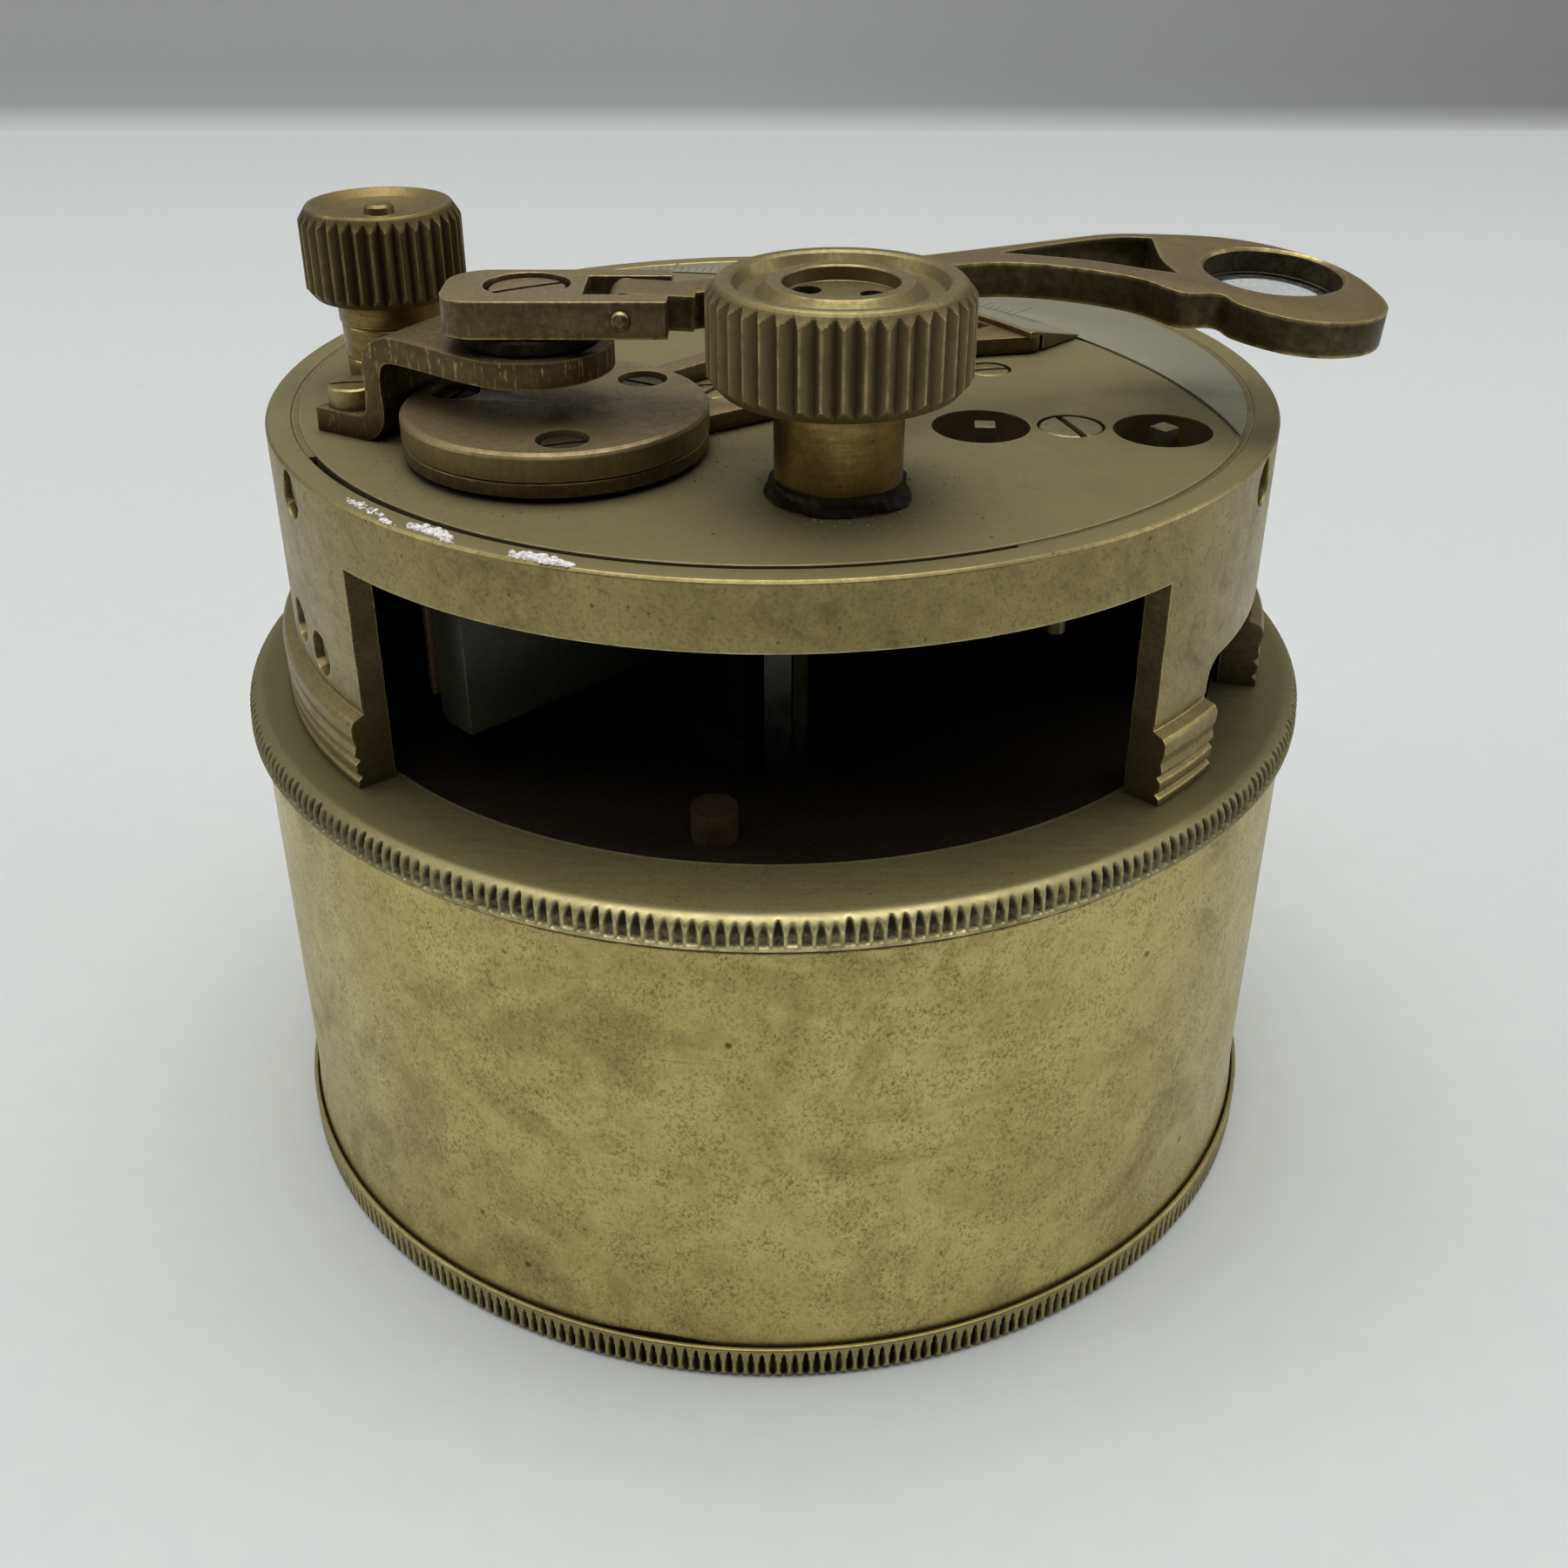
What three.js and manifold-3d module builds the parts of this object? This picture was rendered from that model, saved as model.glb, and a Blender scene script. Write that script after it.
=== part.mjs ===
// Brass pocket box sextant, standing on its own cover. Millimetres, +Z up,
// origin at the centre of the cover's underside. The wide window faces -Y.
import * as THREE from 'three';
import { mergeVertices } from 'three/addons/utils/BufferGeometryUtils.js';
import Module from 'manifold-3d';

const wasm = await Module();
wasm.setup();

// ---- driving dimensions ----
const RIM_R = 38;                 // knurled rims of cover and flange
const COVER_R = 37.3;
const COVER_BORE = 36.3;
const COVER_TOP = 35;
const CAP_H = 2.6;
const FLANGE_TOP = 36.9;
const FLOOR_TOP = 36.2;
const WALL_R = 34.06;
const WALL_BORE = 32.3;
const LAND_R = 35;                // threaded land at the foot of the wall
const LAND_TOP = 41.2;
const DECK = 56.06;               // upper face of the top plate and ring
const DECK_T = 2.46;
const PLATE_R = 32;
const WINDOW_TOP = 51.8;
const WINDOW = [-138.2, -46.8];     // degrees, wide window
const SIDE_WINDOW = [-36.6, -15.5];
const SIDE_WINDOW_TOP = 44.5;
const PIVOT = [-13.3, -14];       // index pivot
const KNOB = [3.9, -21.2];
const KEY = [-25.9, 0];
const WELLS = [[13.4, -9.7], [24.95, -10.5]];
const ADJUSTERS = [[13.7, -9.3], [25.2, -9.8]];
const WELL_R = 3.175;
const CLAMP_SCREW = [19.2, -9.65];
const SMALL_SCREWS = [[15.1, 2.3], [-4.4, -2.6]];
const ARM_DIR = 44.4;             // index arm direction at rest, degrees
const ARC_R = 43.1;               // inner edge of the silvered arc, about the pivot
const ARC_SPAN = [2, 91];
const TEETH_SECTOR = 60;          // teeth on the full circle
const TEETH_PINION = 12;
const SWIVEL = [-14.5, -14];      // magnifier swing axis
const HINGE = [-8.7, 65.2];       // x and z of the magnifier hinge pin
const ARM_TILT = 2.92;            // degrees, arm droops away from the hinge
const ARM_ROLL = 4.4;             // degrees, twist of the worn arm
const ARM_Z = 56.2;                // underside of the index arm
const BOSS_TOP = 57.35;
const LEG_TOP = 63;                // upper leg of the bracket
const FOOT_SCREW = [12, 2.4];      // along and across the bracket
const BRACKET_DIR = 150;          // degrees, from the swivel towards the foot
const BIG = 64;                   // facets of the large turned parts
const MID = 40;
const SMALL = 20;

// ---- materials ----
const metal = (color, roughness) => new THREE.MeshStandardMaterial({ color, roughness, metalness: 1 });
const DRUM = metal(0x9a8f58, 0.4);
const BRASS = metal(0x8f865c, 0.38);
const BRONZE = metal(0x77663d, 0.42);
const STEM = metal(0x9a7f38, 0.3);
const DARK = metal(0x3d3423, 0.6);
const SILVER = metal(0x9b998c, 0.4);
const MIRROR = metal(0x4a5650, 0.2);
const GLASS = new THREE.MeshStandardMaterial({ color: 0xd8e2de, roughness: 0.05, metalness: 0 });
const SHADE = new THREE.MeshStandardMaterial({ color: 0x1d3a2c, roughness: 0.1, metalness: 0 });

const root = new THREE.Group();

// ---- helpers ----
const rad = (deg) => deg * Math.PI / 180;
const polar = (r, deg, centre = [0, 0]) => [centre[0] + r * Math.cos(rad(deg)), centre[1] + r * Math.sin(rad(deg))];

function add(name, geometry, material) {
  const mesh = new THREE.Mesh(geometry, material);
  mesh.name = name;
  root.add(mesh);
  return mesh;
}

// a turned piece: profile of [r, z], counter-clockwise with the material on its left
function turned(profile, centre = [0, 0], segments = MID) {
  const points = profile.map(([r, z]) => new THREE.Vector2(r, z));
  if (profile[0][0] > 0) points.push(points[0].clone());
  const geometry = new THREE.LatheGeometry(points, segments);
  geometry.rotateX(Math.PI / 2);
  geometry.translate(centre[0], centre[1], 0);
  return geometry;
}

function rod(r, z0, z1, centre = [0, 0], segments = SMALL) {
  return turned([[0, z0], [r, z0], [r, z1], [0, z1]], centre, segments);
}

// an upright plate from an outline of [x, y]
function plate(outline, z0, z1, holes = []) {
  const shape = new THREE.Shape(outline.map(([x, y]) => new THREE.Vector2(x, y)));
  for (const hole of holes) {
    shape.holes.push(new THREE.Path(hole.map(([x, y]) => new THREE.Vector2(x, y))));
  }
  const geometry = new THREE.ExtrudeGeometry(shape, { depth: z1 - z0, bevelEnabled: false });
  geometry.translate(0, 0, z0);
  return geometry;
}

function box(x0, x1, y0, y1, z0, z1) {
  const geometry = new THREE.BoxGeometry(x1 - x0, y1 - y0, z1 - z0);
  geometry.translate((x0 + x1) / 2, (y0 + y1) / 2, (z0 + z1) / 2);
  return geometry;
}

const circle = (r, centre, count = SMALL) =>
  Array.from({ length: count }, (_, i) => polar(r, 360 * i / count, centre));

const sweep = (r, from, to, centre, count) =>
  Array.from({ length: count + 1 }, (_, i) => polar(r, from + (to - from) * i / count, centre));

function solid(geometry) {
  const bare = geometry.clone();
  bare.deleteAttribute('normal');
  bare.deleteAttribute('uv');
  const merged = mergeVertices(bare, 1e-4);
  const index = merged.index.array;
  const kept = [];
  for (let i = 0; i < index.length; i += 3) {
    const [a, b, c] = [index[i], index[i + 1], index[i + 2]];
    if (a !== b && b !== c && c !== a) kept.push(a, b, c);
  }
  const vertProperties = new Float32Array(merged.attributes.position.array);
  return new wasm.Manifold(new wasm.Mesh({ numProp: 3, vertProperties, triVerts: new Uint32Array(kept) }));
}

function shell(body) {
  const mesh = body.getMesh();
  const geometry = new THREE.BufferGeometry();
  geometry.setAttribute('position', new THREE.BufferAttribute(new Float32Array(mesh.vertProperties), 3));
  geometry.setIndex(Array.from(mesh.triVerts));
  geometry.computeVertexNormals();
  return geometry;
}

const cut = (geometry, tools) => shell(tools.reduce((body, tool) => body.subtract(solid(tool)), solid(geometry)));
const join = (geometries) => shell(geometries.map(solid).reduce((body, other) => body.add(other)));

// a rod lying along the radius at the given direction and height
function radialRod(r, from, to, deg, z, segments = SMALL) {
  const geometry = rod(r, from, to, [0, 0], segments);
  geometry.rotateY(Math.PI / 2);
  geometry.rotateZ(rad(deg));
  geometry.translate(0, 0, z);
  return geometry;
}

// a slotted screw head with its shank
function slottedScrew(headR, z0, z1, shankR, shankZ, centre, slotDeg) {
  const geometry = turned([[0, shankZ], [shankR, shankZ], [shankR, z0], [headR, z0],
    [headR, z1], [0, z1]], centre, SMALL);
  const slot = box(-headR - 1, headR + 1, -0.22, 0.22, z1 - 0.45, z1 + 1);
  slot.rotateZ(rad(slotDeg));
  slot.translate(centre[0], centre[1], 0);
  return cut(geometry, [slot]);
}

// ---- cover ----
function addCover() {
  add('cover_base', turned([[0, 0], [37.6, 0], [RIM_R, 0.4], [RIM_R, 2.2], [37.7, CAP_H],
    [36, CAP_H], [36, 1.6], [0, 1.6]], [0, 0], BIG), BRASS);
  add('cover_wall', turned([[COVER_BORE, CAP_H], [COVER_R, CAP_H], [COVER_R, COVER_TOP],
    [COVER_BORE, COVER_TOP]], [0, 0], BIG), DRUM);
}

// ---- instrument body ----
function wedge(from, to, z0, z1) {
  const outline = [polar(29, from), ...sweep(42, from, to, [0, 0], 8), polar(29, to)];
  return plate(outline, z0, z1);
}

const PLATE_SCREWS_DEG = [-25.6, -150.4, 92];
const WALL_SCREWS = [[-147.3, 44.1], [-154.2, 44.8]];

function addBody() {
  add('body_flange', turned([[0, 34.6], [33.8, 34.6], [33.8, 31], [35.7, 31], [35.7, COVER_TOP],
    [37.7, COVER_TOP], [RIM_R, 35.3], [RIM_R, 36.4], [37.6, FLANGE_TOP], [31.8, FLANGE_TOP],
    [31.8, FLOOR_TOP], [0, FLOOR_TOP]], [0, 0], BIG), BRASS);
  const ring = turned([[WALL_BORE, FLANGE_TOP], [LAND_R, FLANGE_TOP], [LAND_R, LAND_TOP], [WALL_R, 41.9],
    [WALL_R, DECK], [WALL_BORE, DECK], [WALL_BORE, DECK - DECK_T], [31.2, DECK - DECK_T],
    [31.2, 52.4], [WALL_BORE, 52.4]], [0, 0], BIG);
  const tools = [
    wedge(WINDOW[0], WINDOW[1], FLANGE_TOP - 1, WINDOW_TOP),
    wedge(SIDE_WINDOW[0], SIDE_WINDOW[1], FLANGE_TOP - 1, SIDE_WINDOW_TOP),
    radialRod(2.2, 30, 37, 135, 44),
  ];
  for (const deg of PLATE_SCREWS_DEG) tools.push(radialRod(1.35, 33, 36, deg, 54.2, 12));
  for (const [deg, z] of WALL_SCREWS) tools.push(radialRod(1.25, 33.1, 36, deg, z, 12));
  add('body_wall', cut(ring, tools), BRASS);
  PLATE_SCREWS_DEG.forEach((deg, i) => {
    add(`ring_screw_${i + 1}`, radialRod(1.2, 33.1, 33.9, deg, 54.2, 12), BRASS);
  });
  WALL_SCREWS.forEach(([deg, z], i) => {
    add(`wall_screw_${i + 1}`, radialRod(1.1, 33.2, 33.95, deg, z, 12), BRASS);
  });
}

function arcBand(inner, grow, z0, z1) {
  const band = plate([...sweep(inner - grow, ARC_SPAN[0] - grow, ARC_SPAN[1] + grow, PIVOT, 24),
    ...sweep(60, ARC_SPAN[1] + grow, ARC_SPAN[0] - grow, PIVOT, 12)], z0, z1);
  return solid(band);
}

function addDeck() {
  const bottom = DECK - DECK_T;
  const tools = [rod(2.3, bottom - 1, DECK + 1, PIVOT), rod(2.2, bottom - 1, DECK + 1, KNOB),
    rod(1.9, bottom - 1, DECK + 1, KEY), rod(1, bottom - 1, DECK + 1, CLAMP_SCREW),
    rod(2.2, DECK - 0.5, DECK + 1, CLAMP_SCREW)];
  for (const well of WELLS) tools.push(rod(WELL_R, bottom - 1, DECK + 1, well, 28));
  for (const screw of SMALL_SCREWS) tools.push(rod(1.6, DECK - 1.2, DECK + 1, screw));
  let deck = solid(rod(PLATE_R, bottom, DECK, [0, 0], BIG));
  for (const tool of tools) deck = deck.subtract(solid(tool));
  deck = deck.subtract(arcBand(ARC_R, 0.15, DECK - 0.6, DECK + 1));
  add('top_plate', shell(deck), BRASS);
  const disc = solid(rod(31.9, DECK - 0.55, DECK, [0, 0], BIG));
  add('silver_arc', shell(arcBand(ARC_R, 0, DECK - 0.55, DECK + 0.5).intersect(disc)), SILVER);
  add('clamp_screw', slottedScrew(2.05, DECK - 0.5, DECK - 0.02, 0.8, 41.3, CLAMP_SCREW, 107), BRASS);
  SMALL_SCREWS.forEach((centre, i) => {
    add(`plate_screw_${i + 1}`, slottedScrew(1.45, DECK - 0.8, DECK - 0.02, 1.2, DECK - 1.1, centre, 20), BRASS);
  });
  add('collar_bush', turned([[2.2, DECK], [4.2, DECK], [4.2, 56.9], [3.9, 57.2], [2.2, 57.2]], KNOB, 32), DARK);
  const bridge = plate([[8.5, -13.2], [28.2, -13.2], [28.2, -6.8], [8.5, -6.8]], 49.9, 51.3,
    [circle(1.8, ADJUSTERS[0]), circle(1.8, ADJUSTERS[1]), circle(1, CLAMP_SCREW)]);
  add('adjuster_bridge', bridge, BRASS);
}

// ---- optics on the floor ----
function addOptics() {
  add('horizon_glass', box(-0.5, 1.2, -21.2, -8, 37.3, 47.4), MIRROR);
  const carrier = plate([[-0.5, FLOOR_TOP], [3.6, FLOOR_TOP], [3.6, 37.1], [2.2, 37.1], [2.2, 45.6],
    [1.3, 45.6], [1.3, 37.1], [-0.5, 37.1]], 0, 13.2);
  carrier.rotateX(Math.PI / 2);
  carrier.translate(0, -8, 0);
  add('horizon_carrier', carrier, DARK);
  const shade = box(-2.9, 2.9, -0.6, 0.6, 38.6, 46.6);
  const holder = box(-3.1, 3.1, -0.8, 0.8, FLOOR_TOP, 38.5);
  for (const geometry of [shade, holder]) {
    geometry.rotateZ(rad(-40));
    geometry.translate(-3.7, -17, 0);
  }
  add('shade_glass', shade, SHADE);
  add('shade_holder', holder, DARK);
  add('floor_pin', rod(1.45, FLOOR_TOP, 38.4, [-3.5, -27.6]), STEM);
}

// ---- index arm, mirror and sector ----
function toothed(count, total, pitchR, startDeg, hubR, closed) {
  const step = 360 / total;
  const outline = [];
  for (let i = 0; i < count; i += 1) {
    const mid = startDeg + i * step;
    outline.push(polar(pitchR - 0.55, mid - step * 0.34), polar(pitchR + 0.42, mid - step * 0.13));
    outline.push(polar(pitchR + 0.42, mid + step * 0.13), polar(pitchR - 0.55, mid + step * 0.34));
  }
  if (!closed) outline.push(polar(hubR, startDeg + (count - 1) * step + 20), polar(hubR, startDeg - 20));
  return outline;
}

function addIndex() {
  const at = (r, deg) => polar(r, deg, PIVOT);
  const front = [[-3.9, -11.4], [-0.1, -8.8], [14.3, 4.9], [18.5, 5.7]];
  const mirrorPoint = ([x, y]) => {
    const r = Math.hypot(x - PIVOT[0], y - PIVOT[1]);
    const deg = Math.atan2(y - PIVOT[1], x - PIVOT[0]) * 180 / Math.PI;
    return at(r, 2 * ARM_DIR - deg);
  };
  const outline = [at(4, 0), ...front, ...sweep(38.2, 31.9, 56.9, PIVOT, 8),
    ...front.map(mirrorPoint).reverse(), at(4, 88.8)];
  const inner = [[-2.8, -9], [12.8, 6]];
  const opening = [...inner, ...sweep(36.9, 38, 50.8, PIVOT, 6), ...inner.map(mirrorPoint).reverse()];
  const arm = plate(outline, ARM_Z, BOSS_TOP, [opening]);
  const boss = turned([[0, ARM_Z], [8.6, ARM_Z], [9.3, 56.5], [9.3, 57.1], [9.0, BOSS_TOP], [0, BOSS_TOP]], PIVOT, 48);
  add('index_arm', join([boss, arm]), BRONZE);
  const bevel = turned([[37, BOSS_TOP], [38.5, BOSS_TOP], [38.5, ARM_Z], [42.95, ARM_Z], [42.95, 56.32],
    [37.2, 57.8], [37, 57.8]], PIVOT, 96);
  const ends = plate([at(36.5, 31.2), at(44, 33.9), at(48, 44.4), at(44, 54.9), at(36.5, 57.6)], 56, 58);
  add('vernier', shell(solid(bevel).intersect(solid(ends))), SILVER);

  const screwSpots = [42, -80, 162].map((deg) => at(6.8, deg));
  const cap = turned([[0, 57.35], [9, 57.35], [9.45, 57.6], [9.45, 58.75], [9.1, 59.1], [0, 59.1]], PIVOT, 48);
  add('pivot_cap', cut(cap, screwSpots.map((spot) => rod(1.6, 58.1, 60, spot, 16))), BRONZE);
  screwSpots.forEach((spot, i) => {
    add(`cap_screw_${i + 1}`, slottedScrew(1.4, 58.3, 58.9, 1, 58.12, spot, 150 + 50 * i), DARK);
  });
  add('index_spindle', rod(2, 51, 56.2, PIVOT), STEM);

  const distance = Math.hypot(KNOB[0] - PIVOT[0], KNOB[1] - PIVOT[1]);
  const pitchSector = distance * TEETH_SECTOR / (TEETH_SECTOR + TEETH_PINION);
  const mesh = Math.atan2(KNOB[1] - PIVOT[1], KNOB[0] - PIVOT[0]) * 180 / Math.PI;
  const sector = plate(toothed(11, TEETH_SECTOR, pitchSector, mesh - 30, 3.6, false), 49.4, 51);
  sector.translate(PIVOT[0], PIVOT[1], 0);
  add('index_sector', join([sector, rod(4.2, 49.4, 51, PIVOT, 32)]), BRASS);
  const pinion = plate(toothed(TEETH_PINION, TEETH_PINION, distance - pitchSector, mesh + 180 + 15, 0, true),
    49.2, 51.2, [circle(1.5, [0, 0])]);
  pinion.translate(KNOB[0], KNOB[1], 0);
  add('pinion', pinion, STEM);

  const frame = plate([[1.65, 40.6], [2.2, 40.6], [2.2, 48.4], [5.5, 48.4], [5.5, 49.4], [-3, 49.4],
    [-3, 48.4], [1.65, 48.4]], -7.9, 7.9);
  frame.rotateX(Math.PI / 2);
  frame.rotateZ(rad(ARM_DIR + 90));
  frame.translate(PIVOT[0], PIVOT[1], 0);
  add('mirror_frame', frame, BRASS);
  const glass = box(-8.8, 8.8, -0.8, 1.6, 39.5, 48.2);
  glass.rotateZ(rad(ARM_DIR));
  glass.translate(PIVOT[0], PIVOT[1], 0);
  add('index_mirror', glass, MIRROR);
}

// ---- drive knob and key ----
function addKnob() {
  const head = turned([[0, 62], [6.9, 62], [7.6, 62.6], [7.6, 67.8], [7.1, 68.4], [6.2, 68.4], [5.9, 67.7],
    [4.6, 67.7], [4.1, 68.3], [3.4, 68.3], [3.3, 67.6], [0, 67.6]], KNOB, 48);
  add('knob_head', head, BRASS);
  add('knob_stem', turned([[0, 48.6], [1.45, 48.6], [1.45, 57.3], [3.7, 57.3], [3.7, 62], [0, 62]], KNOB, 32), STEM);
}

function addKey() {
  add('key_head', turned([[0, 62], [4.7, 62], [5.3, 62.6], [5.3, 67.5], [4.9, 68], [4.2, 68], [1.4, 67.3],
    [0.9, 67.5], [0.8, 67.9], [0, 67.9]], KEY, MID), BRASS);
  add('key_stem', turned([[0, 53.8], [1.7, 53.8], [1.7, DECK + 0.04], [3.1, DECK + 0.04], [3.4, 60.5],
    [3.4, 62], [0, 62]], KEY, 28), BRASS);
}

function addAdjusters() {
  ADJUSTERS.forEach((centre, i) => {
    const lower = turned([[0, 46], [1.5, 46], [1.5, 51.5], [3.7, 51.5], [3.7, 53.4], [0, 53.4]], centre, 24);
    const half = 0.85;
    const square = box(-half, half, -half, half, 53.2, 55.95);
    square.rotateZ(rad(-3 + 42 * i));
    square.translate(centre[0], centre[1], 0);
    add(`adjuster_${i + 1}`, join([lower, square]), BRASS);
  });
}

// ---- magnifier ----
function addBracket() {
  const profile = [[13.9, DECK], [13.9, 57.5], [10.4, 57.5], [9.95, 57.95], [9.95, 61.7], [9.5, 62.6],
    [8.6, LEG_TOP], [0, LEG_TOP], [0, 61.4], [8.3, 61.4], [8.75, 60.95], [8.75, 57.3], [9.1, 56.4], [9.9, DECK]];
  const crank = plate(profile, -4.2, 3.6);
  crank.rotateX(Math.PI / 2);
  const leg = plate([[5, -3.6], [5, 4.2], ...sweep(5, 90, 270, [-0.5, 0], 16)], 61.4, LEG_TOP);
  const foot = rod(0.8, 54, 64, FOOT_SCREW, 12);
  const pivotHole = rod(1.25, 60, 64, [0, 0], 16);
  const bracket = cut(join([crank, leg]), [foot, pivotHole]);
  bracket.rotateZ(rad(BRACKET_DIR));
  bracket.translate(SWIVEL[0], SWIVEL[1], 0);
  add('bracket', bracket, BRONZE);
  const along = polar(FOOT_SCREW[0], BRACKET_DIR);
  const across = polar(FOOT_SCREW[1], BRACKET_DIR + 90);
  const spot = [SWIVEL[0] + along[0] + across[0], SWIVEL[1] + along[1] + across[1]];
  add('foot_screw', slottedScrew(1.75, 57.5, 58.95, 0.7, DECK + 0.02, spot, 20), BRASS);
  add('spacer', turned([[1.25, LEG_TOP], [4.1, LEG_TOP], [4.1, 64.05], [1.25, 64.05]], SWIVEL, 28), BRONZE);
  add('swivel_screw', slottedScrew(2.35, 65.15, 66.1, 1.15, 61.4, SWIVEL, 40), BRONZE);
}

function addSwivelBlock() {
  const outline = [[-18, -18], [-6, -18], [-6, -16.3], [-11, -16.3], [-11, -12.2], [-6, -12.2], [-6, -10.7],
    [-18, -10.7], [-19.3, -12], [-19.3, -16.7]];
  const body = plate(outline, 64.1, 66.3);
  const pinHole = rod(0.68, -20, -9, [0, 0], 12);
  pinHole.rotateX(-Math.PI / 2);
  pinHole.translate(HINGE[0], 0, HINGE[1]);
  const tools = [rod(1.35, 63, 67, SWIVEL, 16), rod(2.6, 65.1, 67, SWIVEL, 24), pinHole];
  add('swivel_block', cut(body, tools), BRONZE);
  const pin = rod(0.6, -18.4, -10.7, [0, 0], 12);
  pin.rotateX(-Math.PI / 2);
  pin.translate(HINGE[0], 0, HINGE[1]);
  add('hinge_pin', pin, BRONZE);
}

const ARM_OUTLINE = [[3.2, -0.6], [4.8, -0.2], [12.3, 3.4], [19.9, 6.85], [23.8, 7.95], [27.8, 7.6], [31.6, 6.2],
  [33.9, 4], [36.2, 4.1], [37.1, 2.4], [39.3, 0.6], [42.9, -0.2], [46.6, 2.35], [46.5, 6], [46, 8.8],
  [44.5, 11.7], [41.7, 14.2], [38.4, 15.4], [34.1, 15.35], [30.9, 14.8], [27.5, 13.2], [23.1, 10.95],
  [17.8, 8.3], [11.2, 5.2], [4.8, 2.2], [3.2, 1.6]];
const ARM_OPENING = [[23.3, 9.9], [28.6, 9.3], [32.4, 8.1], [34.3, 7.6], [33.7, 10.3], [33.8, 14], [31.6, 13.7],
  [28, 12.1]];
const LENS = [40.7, 9];
const LENS_R = 4.4;
const ARM_T = 2.6;

function addMagnifier() {
  const sheet = plate(ARM_OUTLINE, -ARM_T, 0, [ARM_OPENING, circle(LENS_R, LENS, 32)]);
  const lens = turned([[0, -2.2], [1.6, -2.15], [3.2, -2], [4.25, -1.8], [4.25, -1.5], [3.2, -1.3], [1.6, -1.15],
    [0, -1.1]], LENS, 32);
  for (const geometry of [sheet, lens]) {
    geometry.rotateX(rad(ARM_ROLL));
    geometry.translate(0, 0, 1);
  }
  const barrel = rod(1.05, -1.7, 1.7, [0, 0], 20);
  barrel.rotateX(Math.PI / 2);
  const tang = box(0, 4, -1.7, 1.7, -1.05, 1.05);
  const hole = rod(0.78, -3, 3, [0, 0], 12);
  hole.rotateX(Math.PI / 2);
  const arm = cut(join([barrel, tang, sheet]), [hole]);
  const group = new THREE.Group();
  group.position.set(HINGE[0], -14.2, HINGE[1]);
  group.rotation.y = rad(ARM_TILT);
  for (const [name, geometry, material] of [['magnifier_arm', arm, BRONZE], ['lens', lens, GLASS]]) {
    const mesh = new THREE.Mesh(geometry, material);
    mesh.name = name;
    group.add(mesh);
  }
  root.add(group);
}

addCover();
addBody();
addDeck();
addOptics();
addIndex();
addKnob();
addKey();
addAdjusters();
addBracket();
addSwivelBlock();
addMagnifier();

export default root;
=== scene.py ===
"""Brass pocket box sextant on its cover: looks, light and camera."""
import math

import bmesh
import bpy
import numpy as np
from mathutils import Matrix, Vector


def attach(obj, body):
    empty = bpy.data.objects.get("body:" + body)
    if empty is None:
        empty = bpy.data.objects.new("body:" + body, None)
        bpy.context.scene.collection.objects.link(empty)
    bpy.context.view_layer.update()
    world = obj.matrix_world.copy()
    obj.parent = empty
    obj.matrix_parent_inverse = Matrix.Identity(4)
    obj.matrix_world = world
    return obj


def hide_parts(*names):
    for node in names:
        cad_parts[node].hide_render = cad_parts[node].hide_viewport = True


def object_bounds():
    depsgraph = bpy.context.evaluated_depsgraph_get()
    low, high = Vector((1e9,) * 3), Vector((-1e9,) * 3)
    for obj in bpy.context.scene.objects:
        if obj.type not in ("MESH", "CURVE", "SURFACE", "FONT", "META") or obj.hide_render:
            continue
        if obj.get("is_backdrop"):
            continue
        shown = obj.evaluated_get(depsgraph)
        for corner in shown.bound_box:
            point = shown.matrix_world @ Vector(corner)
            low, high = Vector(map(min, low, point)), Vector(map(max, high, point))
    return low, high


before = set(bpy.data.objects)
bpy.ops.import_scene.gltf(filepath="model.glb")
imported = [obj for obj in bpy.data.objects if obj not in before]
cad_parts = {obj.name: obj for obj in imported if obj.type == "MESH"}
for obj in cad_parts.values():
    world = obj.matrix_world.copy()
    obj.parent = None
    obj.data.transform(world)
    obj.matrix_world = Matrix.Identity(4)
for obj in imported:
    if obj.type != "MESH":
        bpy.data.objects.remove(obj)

cad_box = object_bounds()

# ---- driving dimensions, in millimetres and degrees ----
MM = 0.001
RIM_R = 38.0
WALL_R = 34.0
CHAMBER_R = 31.8                  # recess in the flange, and foot of the top plate
DECK = 56.06                      # upper face of the top plate
PIVOT = (-13.3, -14.0)
KNOB = (3.9, -21.2)
KEY = (-25.9, 0.0)
SWIVEL = (-14.5, -14.0)
WELLS = ((13.4, -9.7), (24.95, -10.5))
ADJUSTERS = ((13.7, -9.3), (25.2, -9.8))
CLAMP_SCREW = (19.2, -9.65)
SMALL_SCREWS = ((15.1, 2.3), (-4.4, -2.6))
RING_SCREWS = ((-25.6, 80), (-150.4, 20), (92, 45))   # direction from the axis, and of the slot
RING_SCREW_Z = 54.2
WALL_SCREWS = ((-147.3, 44.1), (-154.2, 44.8))        # direction from the axis, and height
ARM_DIR = 44.4                    # index arm direction
ARM_Z = 56.2                      # underside of the index arm
POST_TOP = 56.1                   # the adjusters' posts end just below the index arm
ARC_R = 43.1
ARC_SPAN = (2.0, 91.0)
WINDOW = (-138.2, -46.8)
SIDE_WINDOW = (-36.6, -15.5)
BRACKET_DIR = 150.0
HINGE = (-8.7, -14.2, 65.2)
ARM_TILT = 2.92
ARM_ROLL = 4.4
RIM_NOTCHES = 326
FLANGE_NOTCHES = 292
KNOB_R = 7.6
KEY_R = 5.3
CAMERA_AT = (0.736, -118.717, 93.844)
CAMERA_PITCH = 59.38              # from straight down
LENS_MM = 40.37

rng = np.random.RandomState(7)


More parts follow.
